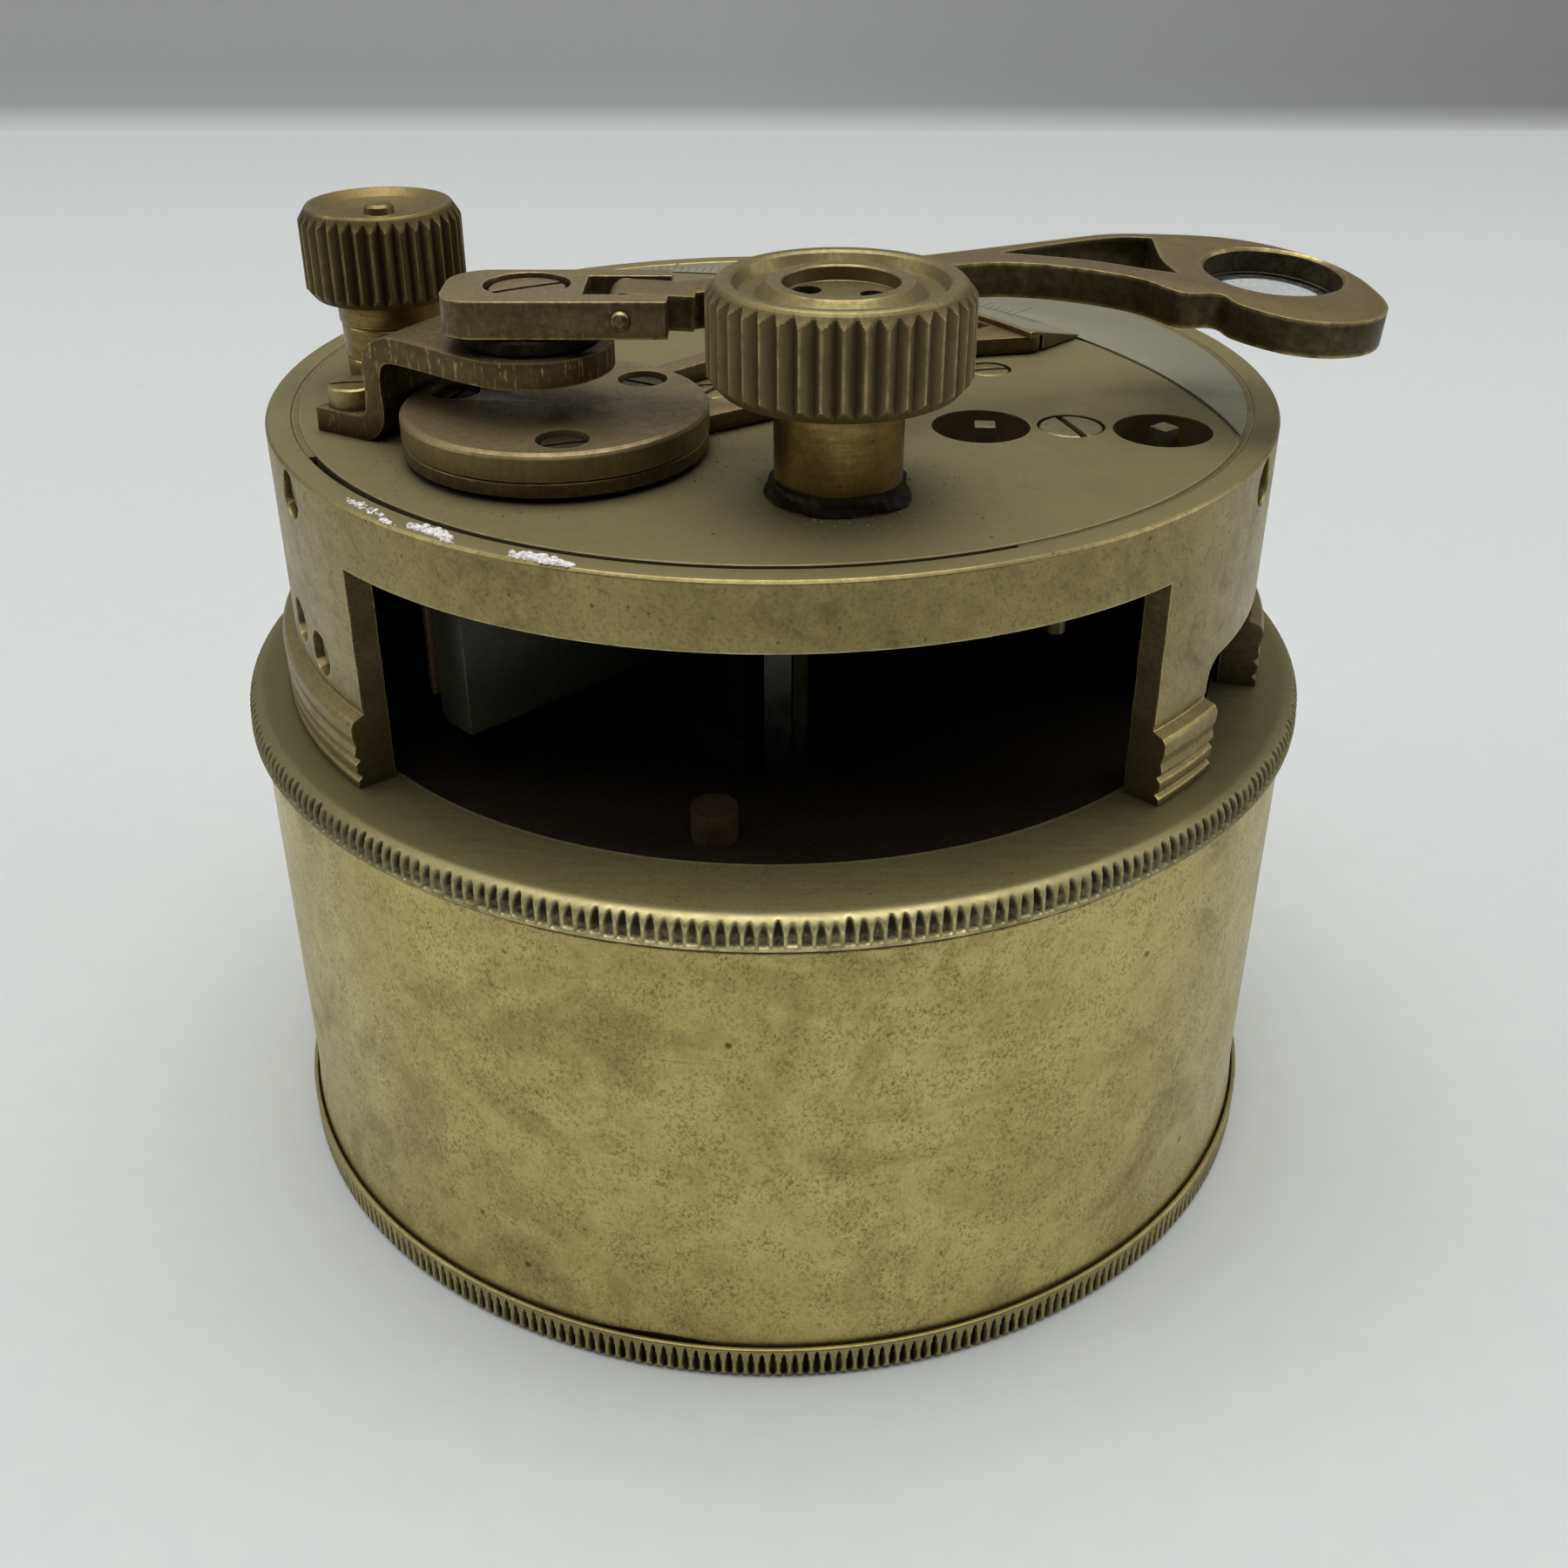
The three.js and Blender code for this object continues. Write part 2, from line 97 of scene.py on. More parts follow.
# ---- small geometry helpers ----
def polar(r, deg, centre=(0, 0)):
    a = math.radians(deg)
    return (centre[0] + r * math.cos(a), centre[1] + r * math.sin(a))


def sweep(r, start, stop, centre=(0, 0), count=24):
    return [polar(r, start + (stop - start) * i / count, centre) for i in range(count + 1)]


def from_axis(c, centre=(0, 0)):
    """Distance of a point from an upright axis."""
    return math.dist((c.x, c.y), centre)


def link(name, mesh):
    obj = bpy.data.objects.new(name, mesh)
    bpy.context.collection.objects.link(obj)
    return obj


def from_arrays(name, verts, faces):
    mesh = bpy.data.meshes.new(name)
    points = [tuple(float(c) * MM for c in v) for v in verts]
    mesh.from_pydata(points, [], [tuple(int(i) for i in f) for f in faces])
    mesh.validate()
    return link(name, mesh)


def fix_normals(obj):
    bm = bmesh.new()
    bm.from_mesh(obj.data)
    bmesh.ops.remove_doubles(bm, verts=bm.verts, dist=1e-7)
    bmesh.ops.recalc_face_normals(bm, faces=bm.faces)
    bm.to_mesh(obj.data)
    bm.free()
    return obj


def fillet(points, radius, steps=4, closed=False):
    """Rounds the corners of a polyline; radius is one number or one per point."""
    count = len(points)
    radii = [radius] * count if np.isscalar(radius) else list(radius)
    out = []
    for i, p in enumerate(points):
        p = np.array(p, float)
        if (not closed and i in (0, count - 1)) or radii[i] <= 0:
            out.append(tuple(p))
            continue
        da = np.array(points[i - 1], float) - p
        db = np.array(points[(i + 1) % count], float) - p
        la, lb = np.linalg.norm(da), np.linalg.norm(db)
        if la < 1e-6 or lb < 1e-6:
            continue
        da, db = da / la, db / lb
        half = math.acos(max(-1, min(1, float(da @ db)))) / 2
        if half > math.pi / 2 - 0.03:
            out.append(tuple(p))
            continue
        reach = min(radii[i] / math.tan(half), la * 0.48, lb * 0.48)
        for t in np.linspace(0, 1, steps + 1):
            q = (1 - t) ** 2 * (p + da * reach) + 2 * t * (1 - t) * p + t * t * (p + db * reach)
            out.append(tuple(q))
    return out


def dense(profile, step, wanted=lambda point: True):
    """Adds points so that no stretch of a profile whose ends are wanted is longer than step."""
    out = [profile[0]]
    for a, b in zip(profile, profile[1:]):
        n = max(1, int(math.ceil(math.dist(a, b) / step))) if wanted(a) and wanted(b) else 1
        out += [tuple(np.array(a) + (np.array(b) - np.array(a)) * k / n) for k in range(1, n + 1)]
    return out


def walls(low, high):
    """The faces between two rings of vertices; a ring may be a single point."""
    count = max(len(low), len(high))
    low, high = (ring * (count // len(ring)) for ring in (low, high))
    quads = zip(low, low[1:] + low[:1], high[1:] + high[:1], high)
    return [tuple(dict.fromkeys(quad)) for quad in quads if len(set(quad)) > 2]


def lathe(name, profile, centre=(0, 0), segments=192, shape=None):
    """Turns a profile of (r, z); it starts and ends on the axis, or closes on itself."""
    theta = np.linspace(0, 2 * math.pi, segments, endpoint=False)
    verts, rings = [], []
    for r, z in profile:
        base = len(verts)
        if r < 1e-6:
            verts.append((centre[0], centre[1], z))
        else:
            radii = shape(r, z, theta) if shape else np.full(segments, r)
            x, y = centre[0] + radii * np.cos(theta), centre[1] + radii * np.sin(theta)
            verts += list(zip(x, y, np.full(segments, z)))
        rings.append(list(range(base, len(verts))))
    if profile[0][0] > 1e-6:
        rings.append(rings[0])
    faces = [face for low, high in zip(rings, rings[1:]) for face in walls(low, high)]
    return fix_normals(from_arrays(name, verts, faces))


def shell(name, front, back):
    """A closed solid between two grids of points of the same size."""
    rows, columns = len(front), len(front[0])
    near = np.arange(rows * columns).reshape(rows, columns)
    far = near + near.size
    faces = []
    for i in range(rows - 1):
        faces += zip(near[i], near[i, 1:], near[i + 1, 1:], near[i + 1])
        faces += zip(far[i], far[i + 1], far[i + 1, 1:], far[i, 1:])
    for j in (0, -1):
        faces += zip(near[:, j], far[:, j], far[1:, j], near[1:, j])
    for i in (0, -1):
        faces += zip(near[i], near[i, 1:], far[i, 1:], far[i])
    verts = [point for side in (front, back) for row in side for point in row]
    return fix_normals(from_arrays(name, verts, faces))


def plate(name, outline, z0, z1):
    """An upright plate from an outline of (x, y)."""
    bm = bmesh.new()
    low, high = [[bm.verts.new((x * MM, y * MM, z * MM)) for x, y in outline] for z in (z0, z1)]
    for face in (low, high, *walls(low, high)):
        bm.faces.new(face)
    bmesh.ops.recalc_face_normals(bm, faces=bm.faces)
    mesh = bpy.data.meshes.new(name)
    bm.to_mesh(mesh)
    bm.free()
    return link(name, mesh)


def block(name, x0, x1, y0, y1, z0, z1):
    return plate(name, [(x0, y0), (x1, y0), (x1, y1), (x0, y1)], z0, z1)


def rod(name, r, z0, z1, centre=(0, 0), segments=64):
    return lathe(name, [(0, z0), (r, z0), (r, z1), (0, z1)], centre, segments)


def turn(obj, deg, axis="Z"):
    obj.data.transform(Matrix.Rotation(math.radians(deg), 4, axis))
    return obj


def move(obj, x, y, z=0):
    obj.data.transform(Matrix.Translation((x * MM, y * MM, z * MM)))
    return obj


def outward(obj, deg, z):
    """Lays an upright piece down so that it points away from the axis at one height."""
    return move(turn(turn(obj, 90, "Y"), deg), 0, 0, z)


def settle(obj):
    """Applies the modifiers of an object to its mesh."""
    graph = bpy.context.evaluated_depsgraph_get()
    graph.update()
    mesh = bpy.data.meshes.new_from_object(obj.evaluated_get(graph))
    old = obj.data
    obj.modifiers.clear()
    obj.data = mesh
    bpy.data.meshes.remove(old)
    return obj


def boolean(obj, tools, operation="DIFFERENCE"):
    for tool in tools:
        modifier = obj.modifiers.new("cut", "BOOLEAN")
        modifier.operation = operation
        modifier.solver = "EXACT"
        modifier.object = tool
        settle(obj)
        mesh = tool.data
        bpy.data.objects.remove(tool)
        bpy.data.meshes.remove(mesh)


def bevel(obj, width, segments=2, angle=35):
    modifier = obj.modifiers.new("bevel", "BEVEL")
    modifier.width = width * MM
    modifier.segments = segments
    modifier.limit_method = "ANGLE"
    modifier.angle_limit = math.radians(angle)
    modifier.use_clamp_overlap = True
    return settle(obj)


def put(obj, body, slot, material, *nodes, angle=32, paint=()):
    """Finishes a piece: smooth shading, body, CAD nodes it stands for, and materials; slot is not used.

    paint lists (material, test) pairs; a face takes the first whose test of its centre and normal is true.
    """
    mesh = obj.data
    mesh.materials.clear()
    for look in (material, *(extra for extra, _ in paint)):
        mesh.materials.append(look)
    for face in mesh.polygons:
        face.use_smooth = True
        hits = (i for i, (_, test) in enumerate(paint, 1) if test(face.center / MM, face.normal))
        face.material_index = next(hits, 0)
    mesh.set_sharp_from_angle(angle=math.radians(angle))
    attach(obj, body)
    if nodes:
        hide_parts(*nodes)


# ---- materials ----
class Nodes:
    """The nodes of a material or a world, in short calls."""

    def __init__(self, owner):
        owner.use_nodes = True
        self.owner = owner
        self.tree = owner.node_tree

    def feed(self, socket, value):
        """Gives an input a number, a vector, a colour or the output of another node."""
        if isinstance(value, bpy.types.NodeSocket):
            self.tree.links.new(value, socket)
        else:
            socket.default_value = (*value, 1) if socket.type == "RGBA" else value

    def add(self, kind, inputs=None, **settings):
        node = self.tree.nodes.new(kind)
        for key, value in settings.items():
            setattr(node, key, value)
        for key, value in (inputs or {}).items():
            self.feed(node.inputs[key], value)
        return node

    def coords(self, scale=(1, 1, 1), rotation=(0, 0, 0), location=(0, 0, 0)):
        """Object coordinates in millimetres, times scale."""
        source = self.add("ShaderNodeTexCoord").outputs["Object"]
        scale = tuple(1000 * s for s in scale)
        inputs = {"Vector": source, "Scale": scale, "Rotation": rotation, "Location": location}
        return self.add("ShaderNodeMapping", inputs).outputs[0]

    def noise(self, vector, scale, detail=4, roughness=0.55, distortion=0):
        inputs = {"Vector": vector, "Scale": scale, "Detail": detail, "Roughness": roughness,
                  "Distortion": distortion}
        return self.add("ShaderNodeTexNoise", inputs).outputs["Fac"]

    def dots(self, vector, scale, radius):
        """Small round spots, one in each cell of a Voronoi pattern."""
        cells = self.add("ShaderNodeTexVoronoi", {"Vector": vector, "Scale": scale})
        return self.spread(cells.outputs["Distance"], radius * 0.5, radius, 1, 0)

    def spread(self, value, low, high, to_low=0.0, to_high=1.0):
        inputs = {"Value": value, "From Min": low, "From Max": high, "To Min": to_low, "To Max": to_high}
        return self.add("ShaderNodeMapRange", inputs).outputs[0]

    def math(self, operation, a, b=0.0):
        return self.add("ShaderNodeMath", {0: a, 1: b}, operation=operation).outputs[0]

    def times(self, a, b):
        return self.math("MULTIPLY", a, b)

    def plus(self, a, b):
        return self.math("ADD", a, b)

    def minus(self, a, b):
        return self.math("SUBTRACT", a, b)

    def most(self, a, b):
        return self.math("MAXIMUM", a, b)

    def length(self, x, y):
        return self.math("SQRT", self.plus(self.times(x, x), self.times(y, y)))

    def mix(self, factor, a, b):
        return self.add("ShaderNodeMix", {0: factor, 6: a, 7: b}, data_type="RGBA").outputs[2]

    def axes(self, vector):
        """The x, y and z of a vector."""
        return self.add("ShaderNodeSeparateXYZ", {0: vector}).outputs

    def bump(self, height, strength, distance, **normal):
        """Relief from a height; distance is in millimetres."""
        inputs = {"Strength": strength, "Distance": distance * MM, "Height": height, **normal}
        return self.add("ShaderNodeBump", inputs).outputs[0]

    def crevice(self, reach):
        """1 deep in corners and gaps, 0 in the open; reach is in millimetres."""
        node = self.add("ShaderNodeAmbientOcclusion", {"Distance": reach * MM}, samples=4)
        return self.spread(node.outputs["AO"], 0.8, 0.32)

    def edge(self, radius):
        """1 on edges and corners, 0 on flat or gently curved faces."""
        rounded = self.add("ShaderNodeBevel", {"Radius": radius * MM}, samples=3).outputs[0]
        flat = self.add("ShaderNodeNewGeometry").outputs["Normal"]
        dot = self.add("ShaderNodeVectorMath", {0: rounded, 1: flat}, operation="DOT_PRODUCT")
        return self.spread(dot.outputs["Value"], 0.992, 0.9)

    def upright(self):
        """1 on upright faces, 0 on level ones."""
        normal = self.add("ShaderNodeTexCoord").outputs["Normal"]
        return self.spread(self.math("ABSOLUTE", self.axes(normal)["Z"]), 0.85, 0.35)

    def beyond(self, start, stop, level):
        """0 to 1 with the distance from the upright axis, above one height."""
        x, y, z = self.axes(self.coords())
        return self.times(self.spread(self.length(x, y), start, stop), self.math("GREATER_THAN", z, level))

    def groove(self, centre, radius, depth, low, high, shoulder=0.0):
        """1 at the foot of a knurl cut to depth below radius, between two heights; its top may be round."""
        x, y, z = self.axes(self.coords())
        r = self.length(self.minus(x, centre[0]), self.minus(y, centre[1]))
        rise = self.most(self.minus(z, high - shoulder), 0)
        level = self.most(self.minus(shoulder ** 2, self.times(rise, rise)), 0)
        inset = self.minus(shoulder, self.math("SQRT", level))
        below = self.minus(self.minus(radius, inset), r)
        deep = self.spread(below, 0.1 * depth, 0.75 * depth)
        inside = self.times(self.math("GREATER_THAN", z, low), self.math("LESS_THAN", z, high))
        inside = self.times(inside, self.math("LESS_THAN", below, 1.6 * depth + 0.1))
        return self.times(deep, inside)

    def shade(self, colour, rough, **others):
        """Connects colour, roughness and any other inputs to the shader, and returns the material."""
        shader = self.tree.nodes["Principled BSDF"]
        for name, value in {"Base Color": colour, "Roughness": rough, **others}.items():
            self.feed(shader.inputs[name], value)
        return self.owner


def material_nodes(name):
    return Nodes(bpy.data.materials.new(name))


def aged_metal(name, bright, mid, dark, roughness=(0.32, 0.48), blotch=0.11, stains=0.6, speckle=0.4,
               streak=None, streak_mix=0.3, wear=None, wear_radius=0.16, grime_and_painted_shade=(0.018, 0.014, 0.008),
               reach=0.9, side=None, side_mix=1.0, groove=None, groove_mix=0.95, dust=0.0, bump=0.1,
               metal=0.88, glint=0.0, silt=None, polish_and_painted_highlight=None, painted_flank_shade=None):
    """Old metal: cloudy patina, specks, tool marks, rubbed edges, grit packed in grooves, and painted shade
    in corners and gaps.

    groove holds the arguments of Nodes.groove, and the polished band's argument those of Nodes.beyond; that
    band is partly a painted highlight. silt is two heights and the colour of the silt below them. The
    flank-shade argument is two distances to either side, its strength and its colour: painted shade that
    darkens the metal away from the front.
    """
    n = material_nodes(name)
    position = n.coords()
    cloud = n.noise(position, blotch, 7, 0.62, 0.6)
    fine = n.noise(position, blotch * 7, 5, 0.65, 0.2)
    grain = n.noise(position, 4.0, 3, 0.7)
    both = n.plus(n.times(cloud, 0.62), n.times(fine, 0.38))
    colour = n.mix(n.spread(both, 0.4, 0.62), mid, bright)
    stain = n.spread(n.noise(position, blotch * 2.3, 6, 0.7, 1.2), 0.54, 0.74, 0, stains)
    colour = n.mix(stain, colour, dark)
    colour = n.mix(n.spread(grain, 0.5, 0.68, 0, speckle), colour, dark)
    pits = n.times(n.dots(position, 1.5, 0.2), n.spread(n.noise(position, 0.5, 3), 0.5, 0.62))
    colour = n.mix(n.times(pits, speckle), colour, grime_and_painted_shade)
    rough = n.plus(n.spread(both, 0.35, 0.65, roughness[1], roughness[0]), n.times(stain, 0.12))
    height = n.times(grain, 0.6)
    # painted shade: the colour darkens with distance to the left and right of the front
    if painted_flank_shade:
        near, far, strength, silt_and_shade_colour = painted_flank_shade
        away = n.spread(n.math("ABSOLUTE", n.axes(position)["X"]), near, far, 0, strength)
        colour = n.mix(away, colour, silt_and_shade_colour)
    if side:
        shade = n.times(n.upright(), n.spread(fine, 0.25, 0.75, side_mix, 0.72 * side_mix))
        colour = n.mix(shade, colour, side)
    if streak:
        marks = n.noise(n.coords(scale=streak), 1.0, 4, 0.65)
        height = n.plus(height, marks)
        rough = n.plus(rough, n.spread(marks, 0.3, 0.7, -0.06, 0.08))
        colour = n.mix(n.spread(marks, 0.38, 0.7, 0, streak_mix), colour, dark)
    if glint:
        nick = n.noise(n.coords(scale=streak, location=(9, 4, 2)), 1.0, 3, 0.6)
        nick = n.times(n.spread(nick, 0.56, 0.66), n.spread(fine, 0.4, 0.6))
        colour = n.mix(n.times(nick, glint), colour, wear)
    if dust:
        fluff = n.times(n.dots(position, 2.2, 0.13), n.spread(n.noise(position, 0.3, 4), 0.5, 0.62))
        colour = n.mix(n.times(fluff, dust), colour, (0.42, 0.4, 0.34))
    # painted shade: ambient occlusion marks corners, gaps and metal tucked under other parts, and the colour
    # is darkened there below
    crevice = n.times(n.crevice(reach), n.spread(fine, 0.3, 0.6, 0.75, 1.0))
    packed = n.groove(*groove) if groove else None
    if wear:
        rub = n.times(n.edge(wear_radius), n.spread(fine, 0.36, 0.6, 0.25, 1))
        rub = n.times(rub, n.minus(1.0, crevice))
        # partly painted highlight: the band on the rounded shoulder takes the bright rubbed colour as well as
        # a lower roughness
        if polish_and_painted_highlight:
            rub = n.most(rub, n.times(n.beyond(*polish_and_painted_highlight), 0.34))
        # the painted flank shade also takes the rubbed brightness off the left and right
        if painted_flank_shade:
            rub = n.times(rub, n.minus(1.0, n.times(away, 0.9)))
        if groove:
            rub = n.times(rub, n.minus(1.0, packed))
        colour = n.mix(rub, colour, wear)
        rough = n.minus(rough, n.times(rub, 0.18))
    # painted shade from that corner mask, joined below with the grit packed in grooves
    painted_shade_and_dirt = n.times(crevice, 0.9)
    if groove:
        packed = n.times(packed, n.spread(fine, 0.35, 0.58, 0.75 * groove_mix, groove_mix))
        painted_shade_and_dirt = n.most(painted_shade_and_dirt, packed)
    if silt:
        low, high, silt_and_shade_colour = silt
        level = n.plus(n.axes(position)["Z"], n.spread(fine, 0.3, 0.7, -0.3, 0.3))
        pale = n.mix(n.spread(grain, 0.46, 0.6), silt_and_shade_colour, tuple(2.6 * c for c in silt_and_shade_colour))
        grime_and_painted_shade = n.mix(n.spread(level, low, high), pale, grime_and_painted_shade)
    colour = n.mix(painted_shade_and_dirt, colour, grime_and_painted_shade)
    rough = n.plus(rough, n.times(painted_shade_and_dirt, 0.3))
    return n.shade(colour, rough, Metallic=metal, Normal=n.bump(height, bump, 0.04))


def drum_metal():
    """The cover's wall: cloudy golden olive with finger marks, fine scratches and small dark spots."""
    n = material_nodes("drum_brass")
    position = n.coords()
    cloud = n.noise(position, 0.075, 8, 0.66, 0.8)
    fine = n.noise(position, 0.55, 6, 0.7, 0.5)
    grain = n.noise(position, 5.0, 4, 0.8, 0.6)
    both = n.plus(n.times(cloud, 0.6), n.times(fine, 0.4))
    colour = n.mix(n.spread(both, 0.38, 0.64), (0.42, 0.345, 0.125), (0.6, 0.52, 0.205))
    blot = n.noise(n.coords(location=(31, 7, 3)), 0.085, 7, 0.68, 1.2)
    stain = n.spread(blot, 0.5, 0.7, 0, 0.85)
    ragged = n.spread(grain, 0.38, 0.62, 0.35, 1.0)
    colour = n.mix(n.times(stain, ragged), colour, (0.21, 0.165, 0.065))
    bits = n.noise(n.coords(rotation=(0.3, 0.2, 0.1), scale=(1, 1, 0.75)), 4.6, 4, 0.72, 0.8)
    patch = n.spread(n.noise(position, 0.4, 4, 0.65, 0.4), 0.38, 0.6, 0.3, 1)
    salt = n.times(n.spread(bits, 0.5, 0.58, 0, 0.85), patch)
    colour = n.mix(salt, colour, (0.2, 0.155, 0.055))
    spots = n.times(n.dots(position, 0.33, 0.1), n.spread(n.noise(position, 0.21, 2), 0.54, 0.58))
    colour = n.mix(n.times(spots, 0.85), colour, (0.07, 0.035, 0.015))
    lines = []
    for scale, rotation, cut in (((0.22, 0.22, 6.5), (0.5, 0.25, 0), 0.72),
                                 ((0.26, 0.26, 8), (-0.35, 0.5, 1), 0.735),
                                 ((0.3, 0.3, 7), (1.2, 0.1, 0.4), 0.735)):
        mark = n.noise(n.coords(scale=scale, rotation=rotation), 1.0, 2, 0.5)
        lines.append(n.spread(mark, cut, cut + 0.02))
    scratch = n.most(n.most(lines[0], lines[1]), lines[2])
    colour = n.mix(n.times(scratch, 0.5), colour, (0.16, 0.12, 0.05))
    # Painted shade: dark bands under the flange's lip and at the foot where the wall enters the rim, the foot
    # band taller between x -13.5 and -3 mm, with ambient-occlusion darkening in corners.
    x, _, z = n.axes(position)
    level = n.plus(z, n.spread(fine, 0.3, 0.7, -0.07, 0.07))
    left, right = n.spread(x, -13.5, -8), n.spread(x, -3, -6.5)
    foot = n.plus(n.times(n.times(left, right), 0.5), 2.42)
    seam_painted_shade = n.most(n.spread(level, 34.24, 34.38), n.math("LESS_THAN", level, foot))
    painted_shade_and_dirt = n.most(n.times(n.crevice(0.15), 0.6), n.times(seam_painted_shade, 0.9))
    colour = n.mix(painted_shade_and_dirt, colour, (0.03, 0.022, 0.012))
    rough = n.plus(n.spread(both, 0.38, 0.64, 0.4, 0.29), n.times(stain, 0.14))
    rough = n.plus(rough, n.spread(grain, 0.4, 0.7, -0.02, 0.1))
    height = n.plus(n.times(grain, 0.5), n.times(scratch, -0.6))
    dents = n.bump(n.noise(position, 0.16, 2, 0.5), 0.22, 0.2)
    return n.shade(colour, rough, Metallic=0.95, Normal=n.bump(height, 0.16, 0.04, Normal=dents))


def mirror_glass():
    """Old silvered glass: dark grey-green and dusty."""
    n = material_nodes("mirror_glass")
    position = n.coords()
    cloud = n.noise(position, 0.15, 3, 0.5)
    dust = n.spread(n.noise(position, 5.0, 4, 0.8), 0.54, 0.7, 0, 0.5)
    colour = n.mix(n.spread(cloud, 0.3, 0.7), (0.032, 0.033, 0.022), (0.042, 0.042, 0.028))
    colour = n.mix(dust, colour, (0.13, 0.13, 0.105))
    return n.shade(colour, n.spread(cloud, 0.3, 0.7, 0.25, 0.42), Normal=n.bump(dust, 0.2, 0.02),
                   **{"Specular IOR Level": 0.3})


def glass_in_painted_shade():
    """The small horizon glass, seen edge on; painted shade makes it nearly black, since it stands in the
    dark.
    """
    n = material_nodes("horizon_glass")
    cloud = n.noise(n.coords(), 0.6, 4)
    colour = n.mix(n.spread(cloud, 0.35, 0.65), (0.006, 0.008, 0.007), (0.012, 0.014, 0.012))
    return n.shade(colour, n.spread(cloud, 0.3, 0.7, 0.2, 0.4))


def clear_glass(name, tint, dusty=0.0):
    n = material_nodes(name)
    position = n.coords()
    smear = n.noise(position, 0.6, 4)
    dust = n.spread(n.noise(position, 3.0, 4, 0.7), 0.48, 0.7, 0, dusty)
    rough = n.plus(n.spread(smear, 0.35, 0.7, 0.04, 0.16), n.times(dust, 0.5))
    smeared = n.mix(n.spread(smear, 0.4, 0.7, 0, 0.25), tint, tuple(0.85 * c for c in tint))
    colour = n.mix(dust, smeared, (0.55, 0.53, 0.48))
    clear = n.minus(1.0, n.times(dust, 0.8))
    return n.shade(colour, rough, IOR=1.5, **{"Transmission Weight": clear})


def crumbly(name, low, high):
    """Dry crumbs, dark in the grain and pale on it."""
    n = material_nodes(name)
    grain = n.noise(n.coords(), 5.0, 4, 0.7)
    return n.shade(n.mix(n.spread(grain, 0.36, 0.56), low, high), 0.85, Normal=n.bump(grain, 0.6, 0.05))


GREY_GRIME_AND_PAINTED_SHADE = (0.02, 0.018, 0.014)
GOLDEN = (0.55, 0.43, 0.17)

DRUM = drum_metal()
OLIVE = aged_metal(
    "olive_brass", (0.34, 0.28, 0.115), (0.245, 0.2, 0.078), (0.13, 0.1, 0.038), stains=0.7, speckle=0.6,
    wear=(0.7, 0.61, 0.28))
# Painted shade darkens the flange to the left and right of the front, and its bright shoulder band is partly
# a painted highlight.
FLANGE = aged_metal(
    "flange_brass", (0.36, 0.312, 0.128), (0.295, 0.252, 0.1), (0.155, 0.13, 0.055), (0.48, 0.58),
    blotch=0.14, stains=0.65, speckle=0.6, streak=(0.3, 2.2, 2), wear=(0.88, 0.78, 0.4), wear_radius=0.55,
    metal=0.8, polish_and_painted_highlight=(36.75, 37.1, 36), painted_flank_shade=(8, 27, 0.9, (0.128, 0.116, 0.046)), grime_and_painted_shade=GREY_GRIME_AND_PAINTED_SHADE,
    groove=((0, 0), RIM_R, 0.45, 35.15, 37, 1.05), groove_mix=0.9, reach=0.6,
    silt=(35.7, 36, (0.13, 0.12, 0.08)), dust=0.4)
RIM = aged_metal(
    "rim_brass", (0.38, 0.325, 0.135), (0.29, 0.245, 0.095), (0.17, 0.135, 0.052), (0.34, 0.48),
    wear=(0.64, 0.56, 0.27), groove=((0, 0), RIM_R, 0.36, 0.2, 2.45), grime_and_painted_shade=(0.01, 0.008, 0.006),
    groove_mix=1, reach=0.8)
PLATE = aged_metal(
    "plate_brass", (0.236, 0.203, 0.094), (0.21, 0.18, 0.081), (0.153, 0.126, 0.056), (0.56, 0.66),
    blotch=0.06, stains=0.35, speckle=0.25, wear=(0.55, 0.49, 0.26), wear_radius=0.08, reach=1, dust=0.7,
    metal=0.75)
BRONZE = aged_metal(
    "bronze", (0.33, 0.245, 0.11), (0.23, 0.165, 0.07), (0.12, 0.08, 0.035), (0.36, 0.52), blotch=0.25,
    wear=GOLDEN, side=(0.055, 0.042, 0.016), side_mix=0.95, reach=1.2)
# The cap's long reach spreads the painted corner shade over its top under the bracket.
CAP = aged_metal(
    "cap_bronze", (0.315, 0.25, 0.125), (0.225, 0.173, 0.084), (0.12, 0.088, 0.042), (0.42, 0.55), blotch=0.2,
    wear=(0.62, 0.5, 0.22), side=(0.165, 0.128, 0.042), side_mix=0.9, reach=2.3, dust=0.6,
    streak=(3, 3, 0.4))
ARM = aged_metal(
    "arm_bronze", (0.27, 0.205, 0.09), (0.205, 0.152, 0.062), (0.11, 0.08, 0.032), (0.36, 0.5), blotch=0.2,
    stains=0.45, wear=(0.66, 0.53, 0.23), wear_radius=0.4, side=(0.03, 0.023, 0.009), side_mix=0.97,
    reach=1.2)
BRACKET = aged_metal(
    "bracket_bronze", (0.26, 0.2, 0.095), (0.18, 0.135, 0.06), (0.09, 0.066, 0.03), (0.38, 0.55), blotch=0.3,
    wear=(0.58, 0.44, 0.18), side=(0.085, 0.059, 0.019), side_mix=0.9, streak=(4, 4, 0.5), streak_mix=0.4,
    reach=1.8, dust=0.4, glint=0.75, metal=0.94)
BLOCK = aged_metal(
    "block_bronze", (0.37, 0.285, 0.14), (0.275, 0.208, 0.098), (0.14, 0.105, 0.048), (0.34, 0.48),
    blotch=0.3, wear=(0.68, 0.54, 0.26), wear_radius=0.24, side=(0.055, 0.037, 0.011), side_mix=0.92,
    reach=1, streak=(3, 3, 0.6), glint=0.12)
